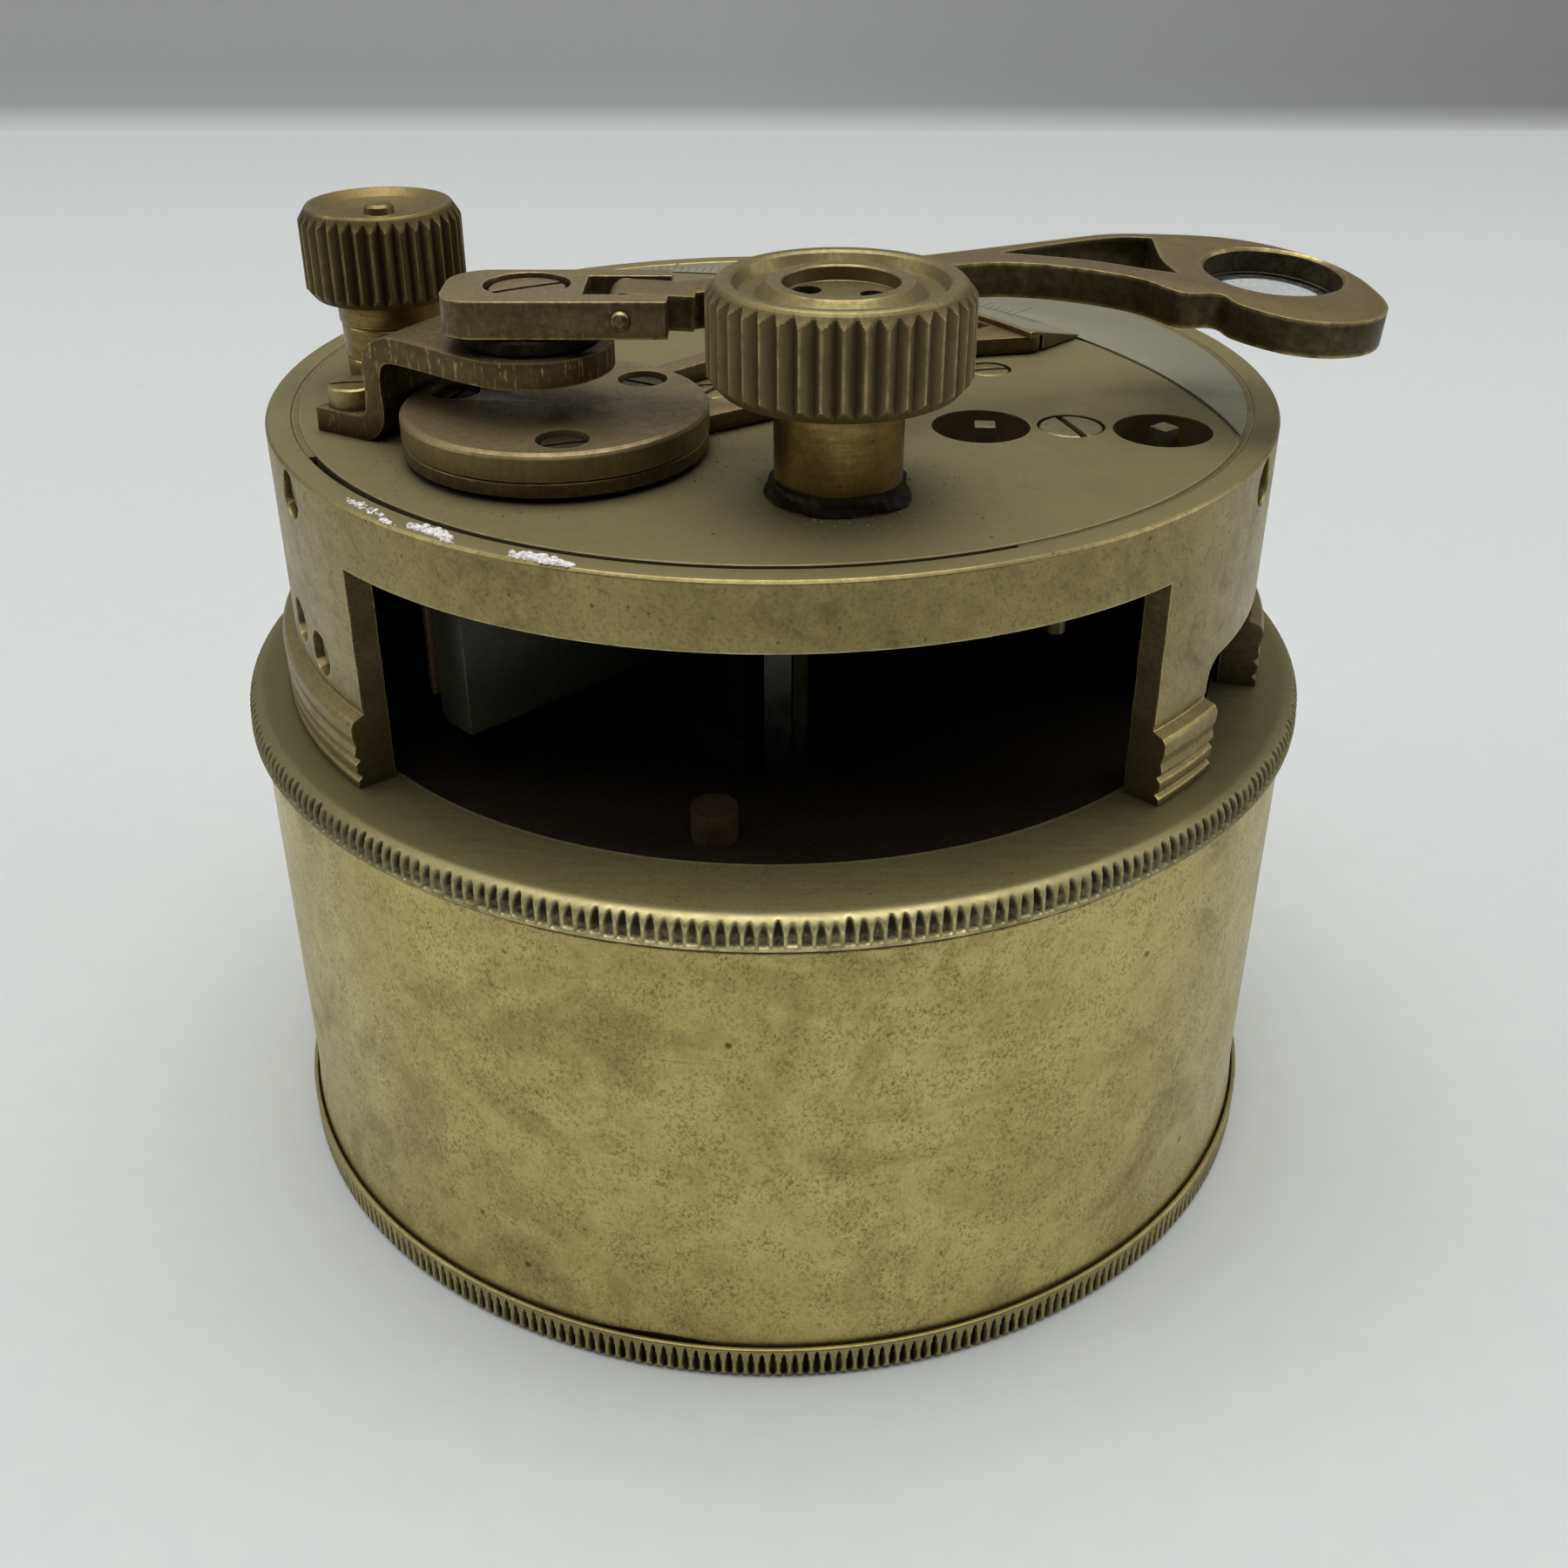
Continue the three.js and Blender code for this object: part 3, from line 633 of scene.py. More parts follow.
KNOB_SIDE = aged_metal(
    "knob_brass", (0.3, 0.246, 0.108), (0.235, 0.19, 0.08), (0.13, 0.1, 0.04), (0.36, 0.5), blotch=0.2,
    streak=(3.5, 3.5, 0.25), streak_mix=0.4, wear=(0.6, 0.51, 0.25), wear_radius=0.14,
    side=(0.15, 0.115, 0.046), side_mix=0.9, grime_and_painted_shade=(0.05, 0.04, 0.018), reach=0.6,
    groove=(KNOB, KNOB_R, 0.45, 62, 68.3), groove_mix=0.5)
KEY_SIDE = aged_metal(
    "key_brass", (0.28, 0.215, 0.08), (0.21, 0.155, 0.056), (0.11, 0.08, 0.028), (0.32, 0.46), blotch=0.25,
    streak=(3.5, 3.5, 0.25), streak_mix=0.4, wear=(0.42, 0.33, 0.13), wear_radius=0.1,
    side=(0.1, 0.077, 0.029), side_mix=0.9, grime_and_painted_shade=(0.028, 0.021, 0.009), reach=0.6,
    groove=(KEY, KEY_R, 0.4, 62, 67.8), groove_mix=0.6)
GOLD = aged_metal(
    "gold_brass", (0.25, 0.18, 0.056), (0.17, 0.12, 0.036), (0.08, 0.055, 0.018), (0.26, 0.4), blotch=0.2,
    streak=(0.25, 0.25, 6), streak_mix=0.35, wear=(0.5, 0.4, 0.16), reach=1.4, metal=0.95)
SCREW = aged_metal(
    "screw_brass", (0.4, 0.345, 0.17), (0.31, 0.26, 0.12), (0.17, 0.135, 0.055), (0.34, 0.48), blotch=0.4,
    streak=(2, 6, 2), streak_mix=0.2, wear=(0.62, 0.54, 0.28), wear_radius=0.08, reach=0.6)
# Dark brass; in the knob's holes and on the adjusters' sides it stands for painted shade.
DIRT_AND_PAINTED_SHADE = aged_metal(
    "dark_brass", (0.1, 0.082, 0.048), (0.05, 0.04, 0.024), (0.02, 0.016, 0.01), (0.45, 0.7), blotch=0.6,
    wear=(0.22, 0.18, 0.1), reach=0.6)
SILVER = aged_metal(
    "silvered", (0.35, 0.335, 0.228), (0.3, 0.285, 0.19), (0.24, 0.215, 0.135), (0.42, 0.54), blotch=0.09,
    stains=0.35, speckle=0.2, wear=(0.55, 0.52, 0.41), wear_radius=0.08, reach=0.8, metal=0.8)
CUT = aged_metal(
    "cut_brass", (0.19, 0.152, 0.062), (0.135, 0.105, 0.042), (0.07, 0.053, 0.021), (0.4, 0.58), blotch=0.25,
    streak=(1.2, 1.2, 7), streak_mix=0.45, wear=(0.6, 0.5, 0.22), wear_radius=0.2, reach=1.5, bump=0.35)
STEP = aged_metal(
    "step_brass", (0.125, 0.108, 0.058), (0.098, 0.084, 0.045), (0.06, 0.05, 0.026), (0.5, 0.7), blotch=0.6,
    reach=0.15)
# Painted shade: a much darker copy of the brass for the surfaces inside the box and under the top plate, and
# for the parts inside.
INNER_PAINTED_SHADE = aged_metal(
    "chamber_brass_painted_shade", (0.045, 0.033, 0.019), (0.027, 0.02, 0.012), (0.013, 0.01, 0.006), (0.6, 0.8),
    blotch=0.2, dust=0.4)
PIN = aged_metal(
    "pin_copper", (0.17, 0.115, 0.065), (0.12, 0.08, 0.045), (0.06, 0.04, 0.022), (0.45, 0.6), blotch=0.5)
INK = aged_metal("engraved_line", (0.13, 0.125, 0.1), (0.1, 0.095, 0.075), (0.07, 0.065, 0.05), (0.6, 0.8))
MIRROR = mirror_glass()
HORIZON = glass_in_painted_shade()
LENS = clear_glass("lens_glass", (0.95, 0.97, 0.96), dusty=0.35)
SHADE = clear_glass("shade_glass", (0.02, 0.05, 0.03))
FLAKE = crumbly("white_flakes", (0.42, 0.36, 0.3), (0.84, 0.82, 0.79))
FLUFF = crumbly("grey_fluff", (0.09, 0.078, 0.05), (0.25, 0.225, 0.16))
PITCH = aged_metal(
    "dark_residue", (0.034, 0.025, 0.014), (0.017, 0.012, 0.007), (0.006, 0.004, 0.003), (0.62, 0.85),
    blotch=0.9, wear=(0.16, 0.13, 0.08), wear_radius=0.1, reach=0.6, metal=0.85, bump=0.6)


# ---- knurls ----
def straight_knurl(count, depth, outer, low, high):
    """V grooves cut along the axis to one radius, steeper on one side than on the other."""
    uneven = 1 + 0.16 * (np.random.RandomState(count).rand(count) - 0.5)

    def shape(r, z, theta):
        if r < outer - 1.0:
            return np.full(len(theta), r)
        cell = theta * count / (2 * math.pi)
        phase = cell % 1.0
        down = np.clip(phase / low, 0, 1)
        up = np.clip((low + high - phase) / high, 0, 1)
        cut = outer - depth * uneven[cell.astype(int) % count] * np.minimum(down, up)
        return np.minimum(r, cut)
    return shape


def lens_knurl(count, depth, low, high, outer):
    """Short notches pressed into a band: round at the foot, pointed at the top, each slightly different."""
    varied = np.random.RandomState(count)
    jitter = 0.75 + 0.35 * varied.rand(count)
    reach = 0.9 + 0.14 * varied.rand(count)

    def shape(r, z, theta):
        if r < outer - 1.0 or z <= low or z >= high:
            return np.full(len(theta), r)
        cell = theta * count / (2 * math.pi)
        index = cell.astype(int) % count
        t = (z - low) / (high - low)
        width = 0.35 * np.clip(1 - (t / reach[index]) ** 2.6, 0, 1) ** 0.8 * min(1, t / 0.18) ** 0.5
        groove = np.clip(1 - np.abs(cell % 1.0 - 0.5) / np.maximum(width, 1e-4), 0, 1) ** 0.7
        return r - depth * groove * jitter[index] * np.minimum(1, width / 0.2)
    return shape


def shoulder_knurl(count, depth, low, step, outer):
    """Notches that run up into a round shoulder and end there in points; below a step they are shallower."""
    varied = np.random.RandomState(count + 1)
    jitter = 0.72 + 0.42 * varied.rand(count)
    foot = low + 0.16 * varied.rand(count)
    fill = 0.45 + 0.4 * varied.rand(count)

    def shape(r, z, theta):
        if r < outer - 1.4 or z <= low:
            return np.full(len(theta), r)
        cell = theta * count / (2 * math.pi)
        index = cell.astype(int) % count
        groove = np.clip(1 - (np.abs(cell % 1.0 - 0.5) / 0.385) ** 1.9, 0, 1)
        deep = depth * jitter[index] * np.where(z > step, 1.0, fill[index])
        land = 0.0 if z > step else 0.07
        cut = outer - land - deep * groove
        return np.where(z > foot[index], np.minimum(r, cut), r)
    return shape


# ---- cover ----
def inside_cup(c, n):
    return c.z > 1.0 and from_axis(c) < 36.5


def make_cover():
    profile = [
        (0, 0.25), (34.5, 0.25), (35, 0), (37.4, 0), (37.95, 0.28), (38, 0.45), (38, 2.42), (37.93, 2.56),
        (37.66, 2.6), (37.6, 2.4), (37.2, 2.3), (36, 2.3), (36, 1.6), (0, 1.6)]
    band = dense(fillet(profile, 0.12, 3), 0.13, lambda p: p[0] > 37.7)
    notches = lens_knurl(RIM_NOTCHES, 0.5, 0.24, 2.42, RIM_R)
    rim = lathe("cover_rim", band, segments=RIM_NOTCHES * 8, shape=notches)
    put(rim, "cover", "olive_brass", RIM, "cover_base", angle=50, paint=[(INNER_PAINTED_SHADE, inside_cup)])
    wall = [(36.3, 2.3), (37.44, 2.3), (37.5, 2.36), (37.46, 3.2), (37.36, 4.5), (37.3, 6.5), (37.3, 34.75),
            (37.05, 35), (36.3, 35)]
    drum = lathe("cover_drum", dense(wall, 2.5), segments=288)
    put(drum, "cover", "drum_brass", DRUM, "cover_wall", angle=40, paint=[(INNER_PAINTED_SHADE, inside_cup)])


# ---- instrument body ----
def window(start, stop, low, high, corner=0.0):
    """A cutter for a window: its upright edges are a little ragged, and its left top corner may be round."""
    columns, rows = int((stop - start) / 1.5), 26
    varied = np.random.RandomState(int(high * 10))
    ragged = np.convolve(varied.normal(0, 0.035, rows + 3), [0.3, 0.4, 0.3], "valid")
    mm_per_deg = math.radians(WALL_R)
    turned = corner / mm_per_deg
    angles = [start + turned * t for t in (0, 0.03, 0.12, 0.27, 0.5, 0.75)] if corner else []
    angles += list(np.linspace(start + turned, stop, columns + 1))
    sides = []
    for r in (28, 44):
        side = []
        for deg in angles:
            drop = corner - (deg - start) * mm_per_deg
            top = high - (corner - math.sqrt(max(0, corner ** 2 - drop ** 2)) if drop > 0 else 0)
            shifts = ragged / mm_per_deg if deg in (angles[0], angles[-1]) else np.zeros(rows + 1)
            side.append([(*polar(r, deg + shifts[j]), low + (top - low) * j / rows) for j in range(rows + 1)])
        sides.append(side)
    return shell("window", *sides)


def make_flange():
    rim = [(RIM_R, z) for z in np.arange(35.12, 35.95, 0.105)]
    shoulder = [(36.9 + 1.05 * math.sin(a), 36 + 1.05 * math.cos(a)) for a in np.linspace(1.45, 0.12, 16)]
    profile = [(0, 34.6), (33.8, 34.6), (33.8, 31), (35.7, 31), (35.7, 34.97), (37.38, 35.0), (37.4, 34.92),
               (37.9, 34.92), (37.99, 35.0), *rim, *shoulder, (34.5, 36.98), (31.86, 36.92),
               (CHAMBER_R, 36.86), (CHAMBER_R, 36.2), (20, 36.2), (10, 36.2), (0, 36.2)]
    notches = shoulder_knurl(FLANGE_NOTCHES, 0.52, 35.2, 36.0, RIM_R)
    flange = lathe("body_rim", profile, segments=FLANGE_NOTCHES * 10, shape=notches)
    put(flange, "instrument", "olive_brass", FLANGE, "body_flange", angle=42,
        paint=[(INNER_PAINTED_SHADE, lambda c, n: from_axis(c) < 31.9)])


def make_wall():
    corners = [
        (32.3, 36.9, 0), (34.95, 36.9, 0.05), (34.95, 37.5, 0.15), (34.6, 37.75, 0.12),
        (34.95, 38.05, 0.15), (34.95, 38.7, 0.15), (34.6, 38.95, 0.12), (35.0, 39.3, 0.3),
        (34.82, 39.95, 0.5), (34.98, 40.6, 0.3), (35.0, 41.3, 0.35), (34.75, 41.7, 0.2),
        (34.0, 41.95, 0.1), (34.0, 42.25, 0.05), (34.06, 42.35, 0.05), (34.06, 55.86, 0.15),
        (33.86, 56.06, 0.15), (32.45, 56.06, 0.1), (32.3, 55.9, 0.1), (32.3, 53.6, 0), (31.2, 53.6, 0),
        (31.2, 52.4, 0), (32.3, 52.4, 0)]
    profile, radii = [c[:2] for c in corners], [c[2] for c in corners]
    wall = lathe("body_ring", fillet(profile, radii, 3, closed=True), segments=360)
    tools = [window(*WINDOW, 36, 51.8), window(*SIDE_WINDOW, 36, 44.5, 1.5),
             outward(rod("eyepiece", 2.2, 30, 38, segments=48), 135, 44)]
    for deg, _ in RING_SCREWS:
        tools.append(outward(rod("hole", 1.52, 33, 38, segments=40), deg, RING_SCREW_Z))
        tools.append(countersink(1.4, 1.72, 33.75, deg, RING_SCREW_Z))
    for deg, z in WALL_SCREWS:
        tools.append(countersink(1.15, 1.56, 33.1, deg, z))
    boolean(wall, tools)
    bevel(wall, 0.09, 2, 50)
    put(wall, "instrument", "olive_brass", OLIVE, "body_wall", angle=35,
        paint=[(INNER_PAINTED_SHADE, ring_inside), (CUT, ring_cut), (PLATE, lambda c, n: n.z > 0.8 and c.z > 55.9)])


def ring_inside(c, n):
    r = from_axis(c)
    facing = (n.x * c.x + n.y * c.y) / r
    return (r < 32.6 and c.z < 55.8 and facing < -0.3) or (r < 32.2 and c.z < 53.8)


def ring_cut(c, n):
    """The sawn ends of the wall beside the windows."""
    r = from_axis(c)
    across = abs(n.y * c.x - n.x * c.y) / r
    return across > 0.8 and c.z < 51.9 and r > 32


def countersink(inner, outer, start, deg, z):
    """A conical cutter from the wall's outside, level at one height."""
    stop = WALL_R + 0.2
    profile = [(0, start), (inner, start), (outer, stop), (outer, stop + 3), (0, stop + 3)]
    return outward(lathe("cone", profile, segments=40), deg, z)


def screw_head(name, r, z0, z1, slot_width=0.42, slot_depth=0.45, dome=0.06, slot_deg=0):
    """A cheese-head screw standing on the axis."""
    profile = [(0, z0), (r, z0), (r, z1 - 0.12), (r - 0.14, z1), (r * 0.5, z1 + dome * 0.7), (0, z1 + dome)]
    head = lathe(name, fillet(profile, [0, 0, 0.08, 0.1, 0, 0], 3), segments=72)
    half = slot_width / 2
    boolean(head, [turn(block("slot", -r - 1, r + 1, -half, half, z1 - slot_depth, z1 + 2), slot_deg)])
    return bevel(head, 0.035, 2, 40)


def make_wall_screws():
    for i, (deg, slot) in enumerate(RING_SCREWS, 1):
        head = screw_head(f"ring_screw_piece_{i}", 1.38, 33.1, 33.6, slot_width=0.55, slot_deg=slot)
        put(outward(head, deg, RING_SCREW_Z), "instrument", "olive_brass", SCREW, f"ring_screw_{i}")
    for i, (deg, z) in enumerate(WALL_SCREWS, 1):
        head = screw_head(f"wall_screw_piece_{i}", 1.18, 33.12, 33.55, 0.45, 0.35, 0.1, slot_deg=40 * i - 10)
        put(outward(head, deg, z), "instrument", "olive_brass", SCREW, f"wall_screw_{i}")


# ---- top plate ----
def arc_outline(grow):
    """The seat of the silvered arc, grown on every side but the outer one."""
    start, stop = ARC_SPAN[0] - grow, ARC_SPAN[1] + grow
    return sweep(ARC_R - grow, start, stop, PIVOT, 120) + sweep(62, stop, start, PIVOT, 60)


def make_deck():
    profile = [(0, 53.6), (CHAMBER_R, 53.6), (32.0, 53.8), (32.0, 56.0), (31.94, DECK), (0, DECK)]
    deck = move(lathe("deck_plate", profile, segments=360), 0.07, 0.08)
    holes = [(2.3, 50, PIVOT, 48), (2.2, 50, KNOB, 48), (1.9, 50, KEY, 48), (1.0, 50, CLAMP_SCREW, 48)]
    holes += [(3.175, 50, spot, 96) for spot in WELLS]
    holes += [(2.2, DECK - 0.5, CLAMP_SCREW, 72)]
    holes += [(1.6, DECK - 1.2, spot, 64) for spot in SMALL_SCREWS]
    tools = [rod("hole", r, z, 58, spot, segments) for r, z, spot, segments in holes]
    tools.append(plate("seat", arc_outline(0.05), DECK - 0.6, 58))
    tools.append(plate("step", arc_outline(0.5), DECK - 0.16, 58))
    boolean(deck, tools)
    bevel(deck, 0.06, 2, 50)
    put(deck, "instrument", "olive_brass", PLATE, "top_plate", angle=30,
        paint=[(INNER_PAINTED_SHADE, under_deck), (CUT, in_well), (STEP, in_arc_step)])


def make_gap_dirt():
    """Packed grit in the joint round the plate, except at the front left where the joint is open."""
    profile = [(31.6, 55.2), (32.34, 55.2), (32.34, 55.98), (32.1, 55.95), (31.6, 55.98)]
    ring = lathe("joint_dirt", profile, segments=360)
    boolean(ring, [window(-152, -65, 54, 58)])
    put(ring, "instrument", "olive_brass", OLIVE, angle=40)


def under_deck(c, n):
    return c.z < 53.9


def in_well(c, n):
    return c.z < 55.9 and from_axis(c) < 31 and abs(n.z) < 0.5


def in_arc_step(c, n):
    """The darker step along the inner edge of the silvered arc."""
    return 55.5 < c.z < DECK - 0.06 and abs(from_axis(c, PIVOT) - ARC_R) < 0.75


def make_arc():
    arc = plate("arc_plate", arc_outline(0), DECK - 0.55, DECK)
    boolean(arc, [rod("disc", 31.9, 50, 60, segments=360)], "INTERSECT")
    bevel(arc, 0.2, 2, 40)
    put(arc, "instrument", "silvered", SILVER, "silver_arc")
    start = ARC_R + 0.25
    lines = []
    for i in range(54):
        reach = 2.6 if i % 10 == 0 else (1.9 if i % 5 == 0 else 1.2)
        lines.append((43.6 + i * 0.8, start, start + reach))
    graduation("arc_scale", lines, "instrument", lambda r: DECK)


def graduation(name, lines, body, height):
    """Engraved division lines (direction, inner and outer radius) about the pivot, as hair-thin inlays."""
    half_width = 0.025
    verts, faces = [], []
    for deg, r0, r1 in lines:
        a = math.radians(deg)
        radial = np.array([math.cos(a), math.sin(a)])
        side = np.array([-radial[1], radial[0]]) * half_width
        low = list(range(len(verts), len(verts) + 4))
        high = [v + 4 for v in low]
        for top in (-0.01, 0.012):
            for r, sign in ((r0, -1), (r1, -1), (r1, 1), (r0, 1)):
                p = np.array(PIVOT) + radial * r + side * sign
                verts.append((p[0], p[1], height(r) + top))
        faces += [low[:1] + low[:0:-1], high, *walls(low, high)]
    put(from_arrays(name, verts, faces), body, "silvered", INK)


def make_deck_screws():
    top = DECK - 0.03
    clamp = screw_head("clamp_screw_piece", 2.05, DECK - 0.5, top, 0.5, 0.4, 0.03, slot_deg=107)
    boolean(clamp, [rod("shank", 0.8, 41.6, DECK - 0.4, segments=32)], "UNION")
    put(move(clamp, *CLAMP_SCREW), "instrument", "olive_brass", SCREW, "clamp_screw")
    for i, spot in enumerate(SMALL_SCREWS, 1):
        name, slot = f"plate_screw_piece_{i}", 50 * i - 38
        head = screw_head(name, 1.45, DECK - 1.1, top, 0.45, 0.45, 0.03, slot)
        put(move(head, *spot), "instrument", "olive_brass", SCREW, f"plate_screw_{i}")


def make_collar():
    """A low bush with a torn upper edge."""
    ragged = np.random.RandomState(3)
    waves = [(k, 0.42 / k ** 0.5 * ragged.rand(), 6.28 * ragged.rand()) for k in (2, 3, 5, 8, 13, 21, 34)]

    def torn(r, z, theta):
        if r < 3 or z < 56.1:
            return np.full(len(theta), r)
        return r + 0.8 * sum(a * np.sin(k * theta + p + 3 * z) for k, a, p in waves)
    profile = [(2.3, DECK), (4.3, DECK), (4.3, 56.2), (4.15, 56.5), (4.1, 56.85), (3.9, 57.1), (2.3, 57.15)]
    collar = lathe("collar_piece", fillet(profile, 0.15, 3, closed=True), KNOB, 220, torn)
    put(collar, "instrument", "dark_brass", PITCH, "collar_bush")


# ---- knob and key ----
def knurled_head(name, corners, wide, centre, count, knurl):
    """A milled head; corners are (r, z, rounding), and wide is where the knurled part begins."""
    rings = fillet([c[:2] for c in corners], [c[2] for c in corners], 3)
    return lathe(name, dense(rings, 0.22, lambda p: p[0] > wide), centre, count * 14, knurl)


def make_knob():
    corners = [
        (0, 62.4, 0), (6.3, 62.4, 0.15), (6.9, 62.52, 0.15), (KNOB_R, 63.3, 0.12), (KNOB_R, 67.7, 0.12),
        (6.95, 68.47, 0.1), (6.75, 68.55, 0.1), (6.3, 68.52, 0.08), (6.1, 68.4, 0.08), (5.75, 67.75, 0.25),
        (4.85, 67.65, 0.25), (4.3, 68.2, 0.1), (4.1, 68.4, 0.06), (3.4, 68.4, 0.05), (3.3, 68.3, 0.05),
        (3.3, 67.5, 0.08), (0, 67.5, 0)]
    knurl = straight_knurl(40, 0.46, KNOB_R, 0.58, 0.32)
    head = knurled_head("knob_head_piece", corners, 6.6, KNOB, 40, knurl)
    boolean(head, [rod("hole", r, 66.4, 69, (KNOB[0] + dx, KNOB[1] + dy), 32)
                   for r, dx, dy in ((0.85, -1.9, 1.3), (0.7, 1.75, 0.5))])
    # painted shade: the insides of the two holes in the knob's top are painted dark
    put(head, "drive", "olive_brass", KNOB_SIDE, "knob_head", angle=24,
        paint=[(DIRT_AND_PAINTED_SHADE, lambda c, n: c.z < 67.45 and from_axis(c, KNOB) < 3.2 and c.z > 62.6)])
    stem = [(0, 48.6), (1.3, 48.6), (1.45, 48.75), (1.45, 57.0), (3.7, 57.0), (3.78, 57.1), (3.78, 62.3),
            (3.6, 62.45), (0, 62.45)]
    stem = dense(fillet(stem, [0, 0.05, 0.05, 0, 0, 0.05, 0.06, 0.05, 0], 3), 0.8)
    put(lathe("knob_stem_piece", stem, KNOB, 128), "drive", "gold_brass", GOLD, "knob_stem")


def make_key():
    corners = [
        (0, 62, 0), (4.3, 62, 0.15), (4.75, 62.12, 0.15), (KEY_R, 62.8, 0.12), (KEY_R, 67.05, 0.15),
        (4.85, 67.75, 0.12), (4.7, 67.95, 0.08), (4.5, 67.98, 0.08), (4.35, 67.9, 0.1), (3.6, 67.55, 0.6),
        (2.4, 67.2, 0.8), (1.35, 67.1, 0.2), (1.0, 67.25, 0.1), (0.95, 67.7, 0.1), (0.75, 67.88, 0.1),
        (0, 67.9, 0)]
    knurl = straight_knurl(34, 0.4, KEY_R, 0.5, 0.36)
    head = knurled_head("key_head_piece", corners, 4.5, KEY, 34, knurl)
    put(head, "key", "olive_brass", KEY_SIDE, "key_head", angle=24)
    stem = [(0, 53.9), (1.7, 53.9), (1.7, 56.1), (3.0, 56.1), (3.12, 56.25), (3.2, 58.0), (3.12, 58.1),
            (3.25, 58.2), (3.28, 60.2), (3.2, 60.3), (3.4, 60.45), (3.42, 61.95), (3.3, 62.05), (0, 62.05)]
    stem = dense(fillet(stem, 0.06, 3), 0.8)
    put(lathe("key_stem_piece", stem, KEY, 128), "key", "olive_brass", GOLD, "key_stem")


# ---- horizon adjusters ----
def make_adjusters():
    profile = [
        (0, 46), (1.4, 46), (1.5, 46.1), (1.5, 51.5), (3.7, 51.5), (3.7, 53.4), (1.6, 53.4), (1.5, 53.6),
        (0, 53.6)]
    for i, spot in enumerate(ADJUSTERS, 1):
        adjuster = lathe(f"adjuster_piece_{i}", profile, segments=72)
        post = bevel(block("post", -0.7, 0.7, -0.7, 0.7, 53.3, POST_TOP), 0.14, 2)
        boolean(adjuster, [turn(post, 42 * i - 45)], "UNION")
        # painted shade: the upright sides of each adjuster and its post are painted dark; the top keeps the
        # screw brass
        put(move(adjuster, *spot), f"turn_screw_{i}", "olive_brass", SCREW, f"adjuster_{i}",
            paint=[(DIRT_AND_PAINTED_SHADE, lambda c, n: c.z < POST_TOP - 0.05 and abs(n.z) < 0.5)])


# ---- index arm ----
def mirrored(points):
    """The points in reverse order on the other side of the index arm's middle line."""
    out = []
    for x, y in reversed(points):
        dx, dy = x - PIVOT[0], y - PIVOT[1]
        out.append(polar(math.hypot(dx, dy), 2 * ARM_DIR - math.degrees(math.atan2(dy, dx)), PIVOT))
    return out


def make_index_arm():
    front = [(-3.9, -11.4), (-0.1, -8.8), (14.3, 4.9), (18.5, 5.7)]
    outline = [polar(4, 0, PIVOT), *front, *sweep(38.2, 31.9, 56.9, PIVOT), *mirrored(front),
               polar(4, 2 * ARM_DIR, PIVOT)]
    radii = [0, 0, 2.5, 1.2] + [0] * (len(outline) - 4)
    inner = [(-2.8, -9), (12.8, 6)]
    opening = fillet(inner + sweep(36.9, 38, 50.8, PIVOT, 12) + mirrored(inner),
                     [0.5, 0.9] + [0] * 13 + [0.9, 0.5], 4, closed=True)
    arm = plate("index_arm_piece", fillet(outline, radii, 5, closed=True), ARM_Z, 57.35)
    boolean(arm, [plate("opening", opening, 55, 59)])
    bevel(arm, 0.1, 2, 40)
    boss = [(0, ARM_Z), (8.6, ARM_Z), (8.7, 56.42), (9.3, 56.42), (9.38, 56.5), (9.38, 57.26), (9.32, 57.33),
            (0, 57.33)]
    boolean(arm, [lathe("boss", fillet(boss, 0.1, 3), PIVOT)], "UNION")
    put(arm, "index", "bronze", BRONZE, "index_arm", angle=30)


def make_vernier():
    inner, outer, low, high = 37.25, 42.95, 56.34, 57.8
    profile = [
        (37, 57.3), (38.5, 57.3), (38.5, 56.22), (outer, 56.22), (outer, low), (inner, high), (37, 57.75)]
    vernier = lathe("vernier_piece", profile, PIVOT, 720)
    ends = ((36.5, 31.2), (44, 33.9), (49, 44.4), (44, 54.9), (36.5, 57.6))
    boolean(vernier, [plate("ends", [polar(r, deg, PIVOT) for r, deg in ends], 55.5, 59)], "INTERSECT")
    bevel(vernier, 0.04, 2, 40)
    put(vernier, "index", "silvered", SILVER, "vernier", angle=20,
        paint=[(BRONZE, lambda c, n: n.z < 0.9 or from_axis(c, PIVOT) < 38.6)])
    lines = [(38.5 + i * 0.6, 42.9 - (1.7 if i % 5 == 0 else 1.1), 42.85) for i in range(21)]
    graduation("vernier_scale", lines, "index", lambda r: low + (outer - r) * (high - low) / (outer - inner))


def make_cap():
    profile = [(0, 57.37), (9.36, 57.37), (9.45, 57.46), (9.45, 58.8), (9.33, 58.98), (9.05, 59.1), (0, 59.1)]
    cap = lathe("pivot_cap_piece", fillet(profile, 0.1, 3), PIVOT, 256)
    spots = [polar(6.8, deg, PIVOT) for deg in (42, -80, 162)]
    boolean(cap, [rod("hole", 1.6, 58.1, 60, spot, 56) for spot in spots])
    bevel(cap, 0.05, 2, 50)
    put(cap, "index", "bronze", CAP, "pivot_cap", angle=30)
    for i, spot in enumerate(spots, 1):
        head = screw_head(f"cap_screw_piece_{i}", 1.42, 58.15, 58.82, 0.4, 0.4, 0.02, slot_deg=100 + 50 * i)
        put(move(head, *spot), "index", "dark_brass", DIRT_AND_PAINTED_SHADE, f"cap_screw_{i}")


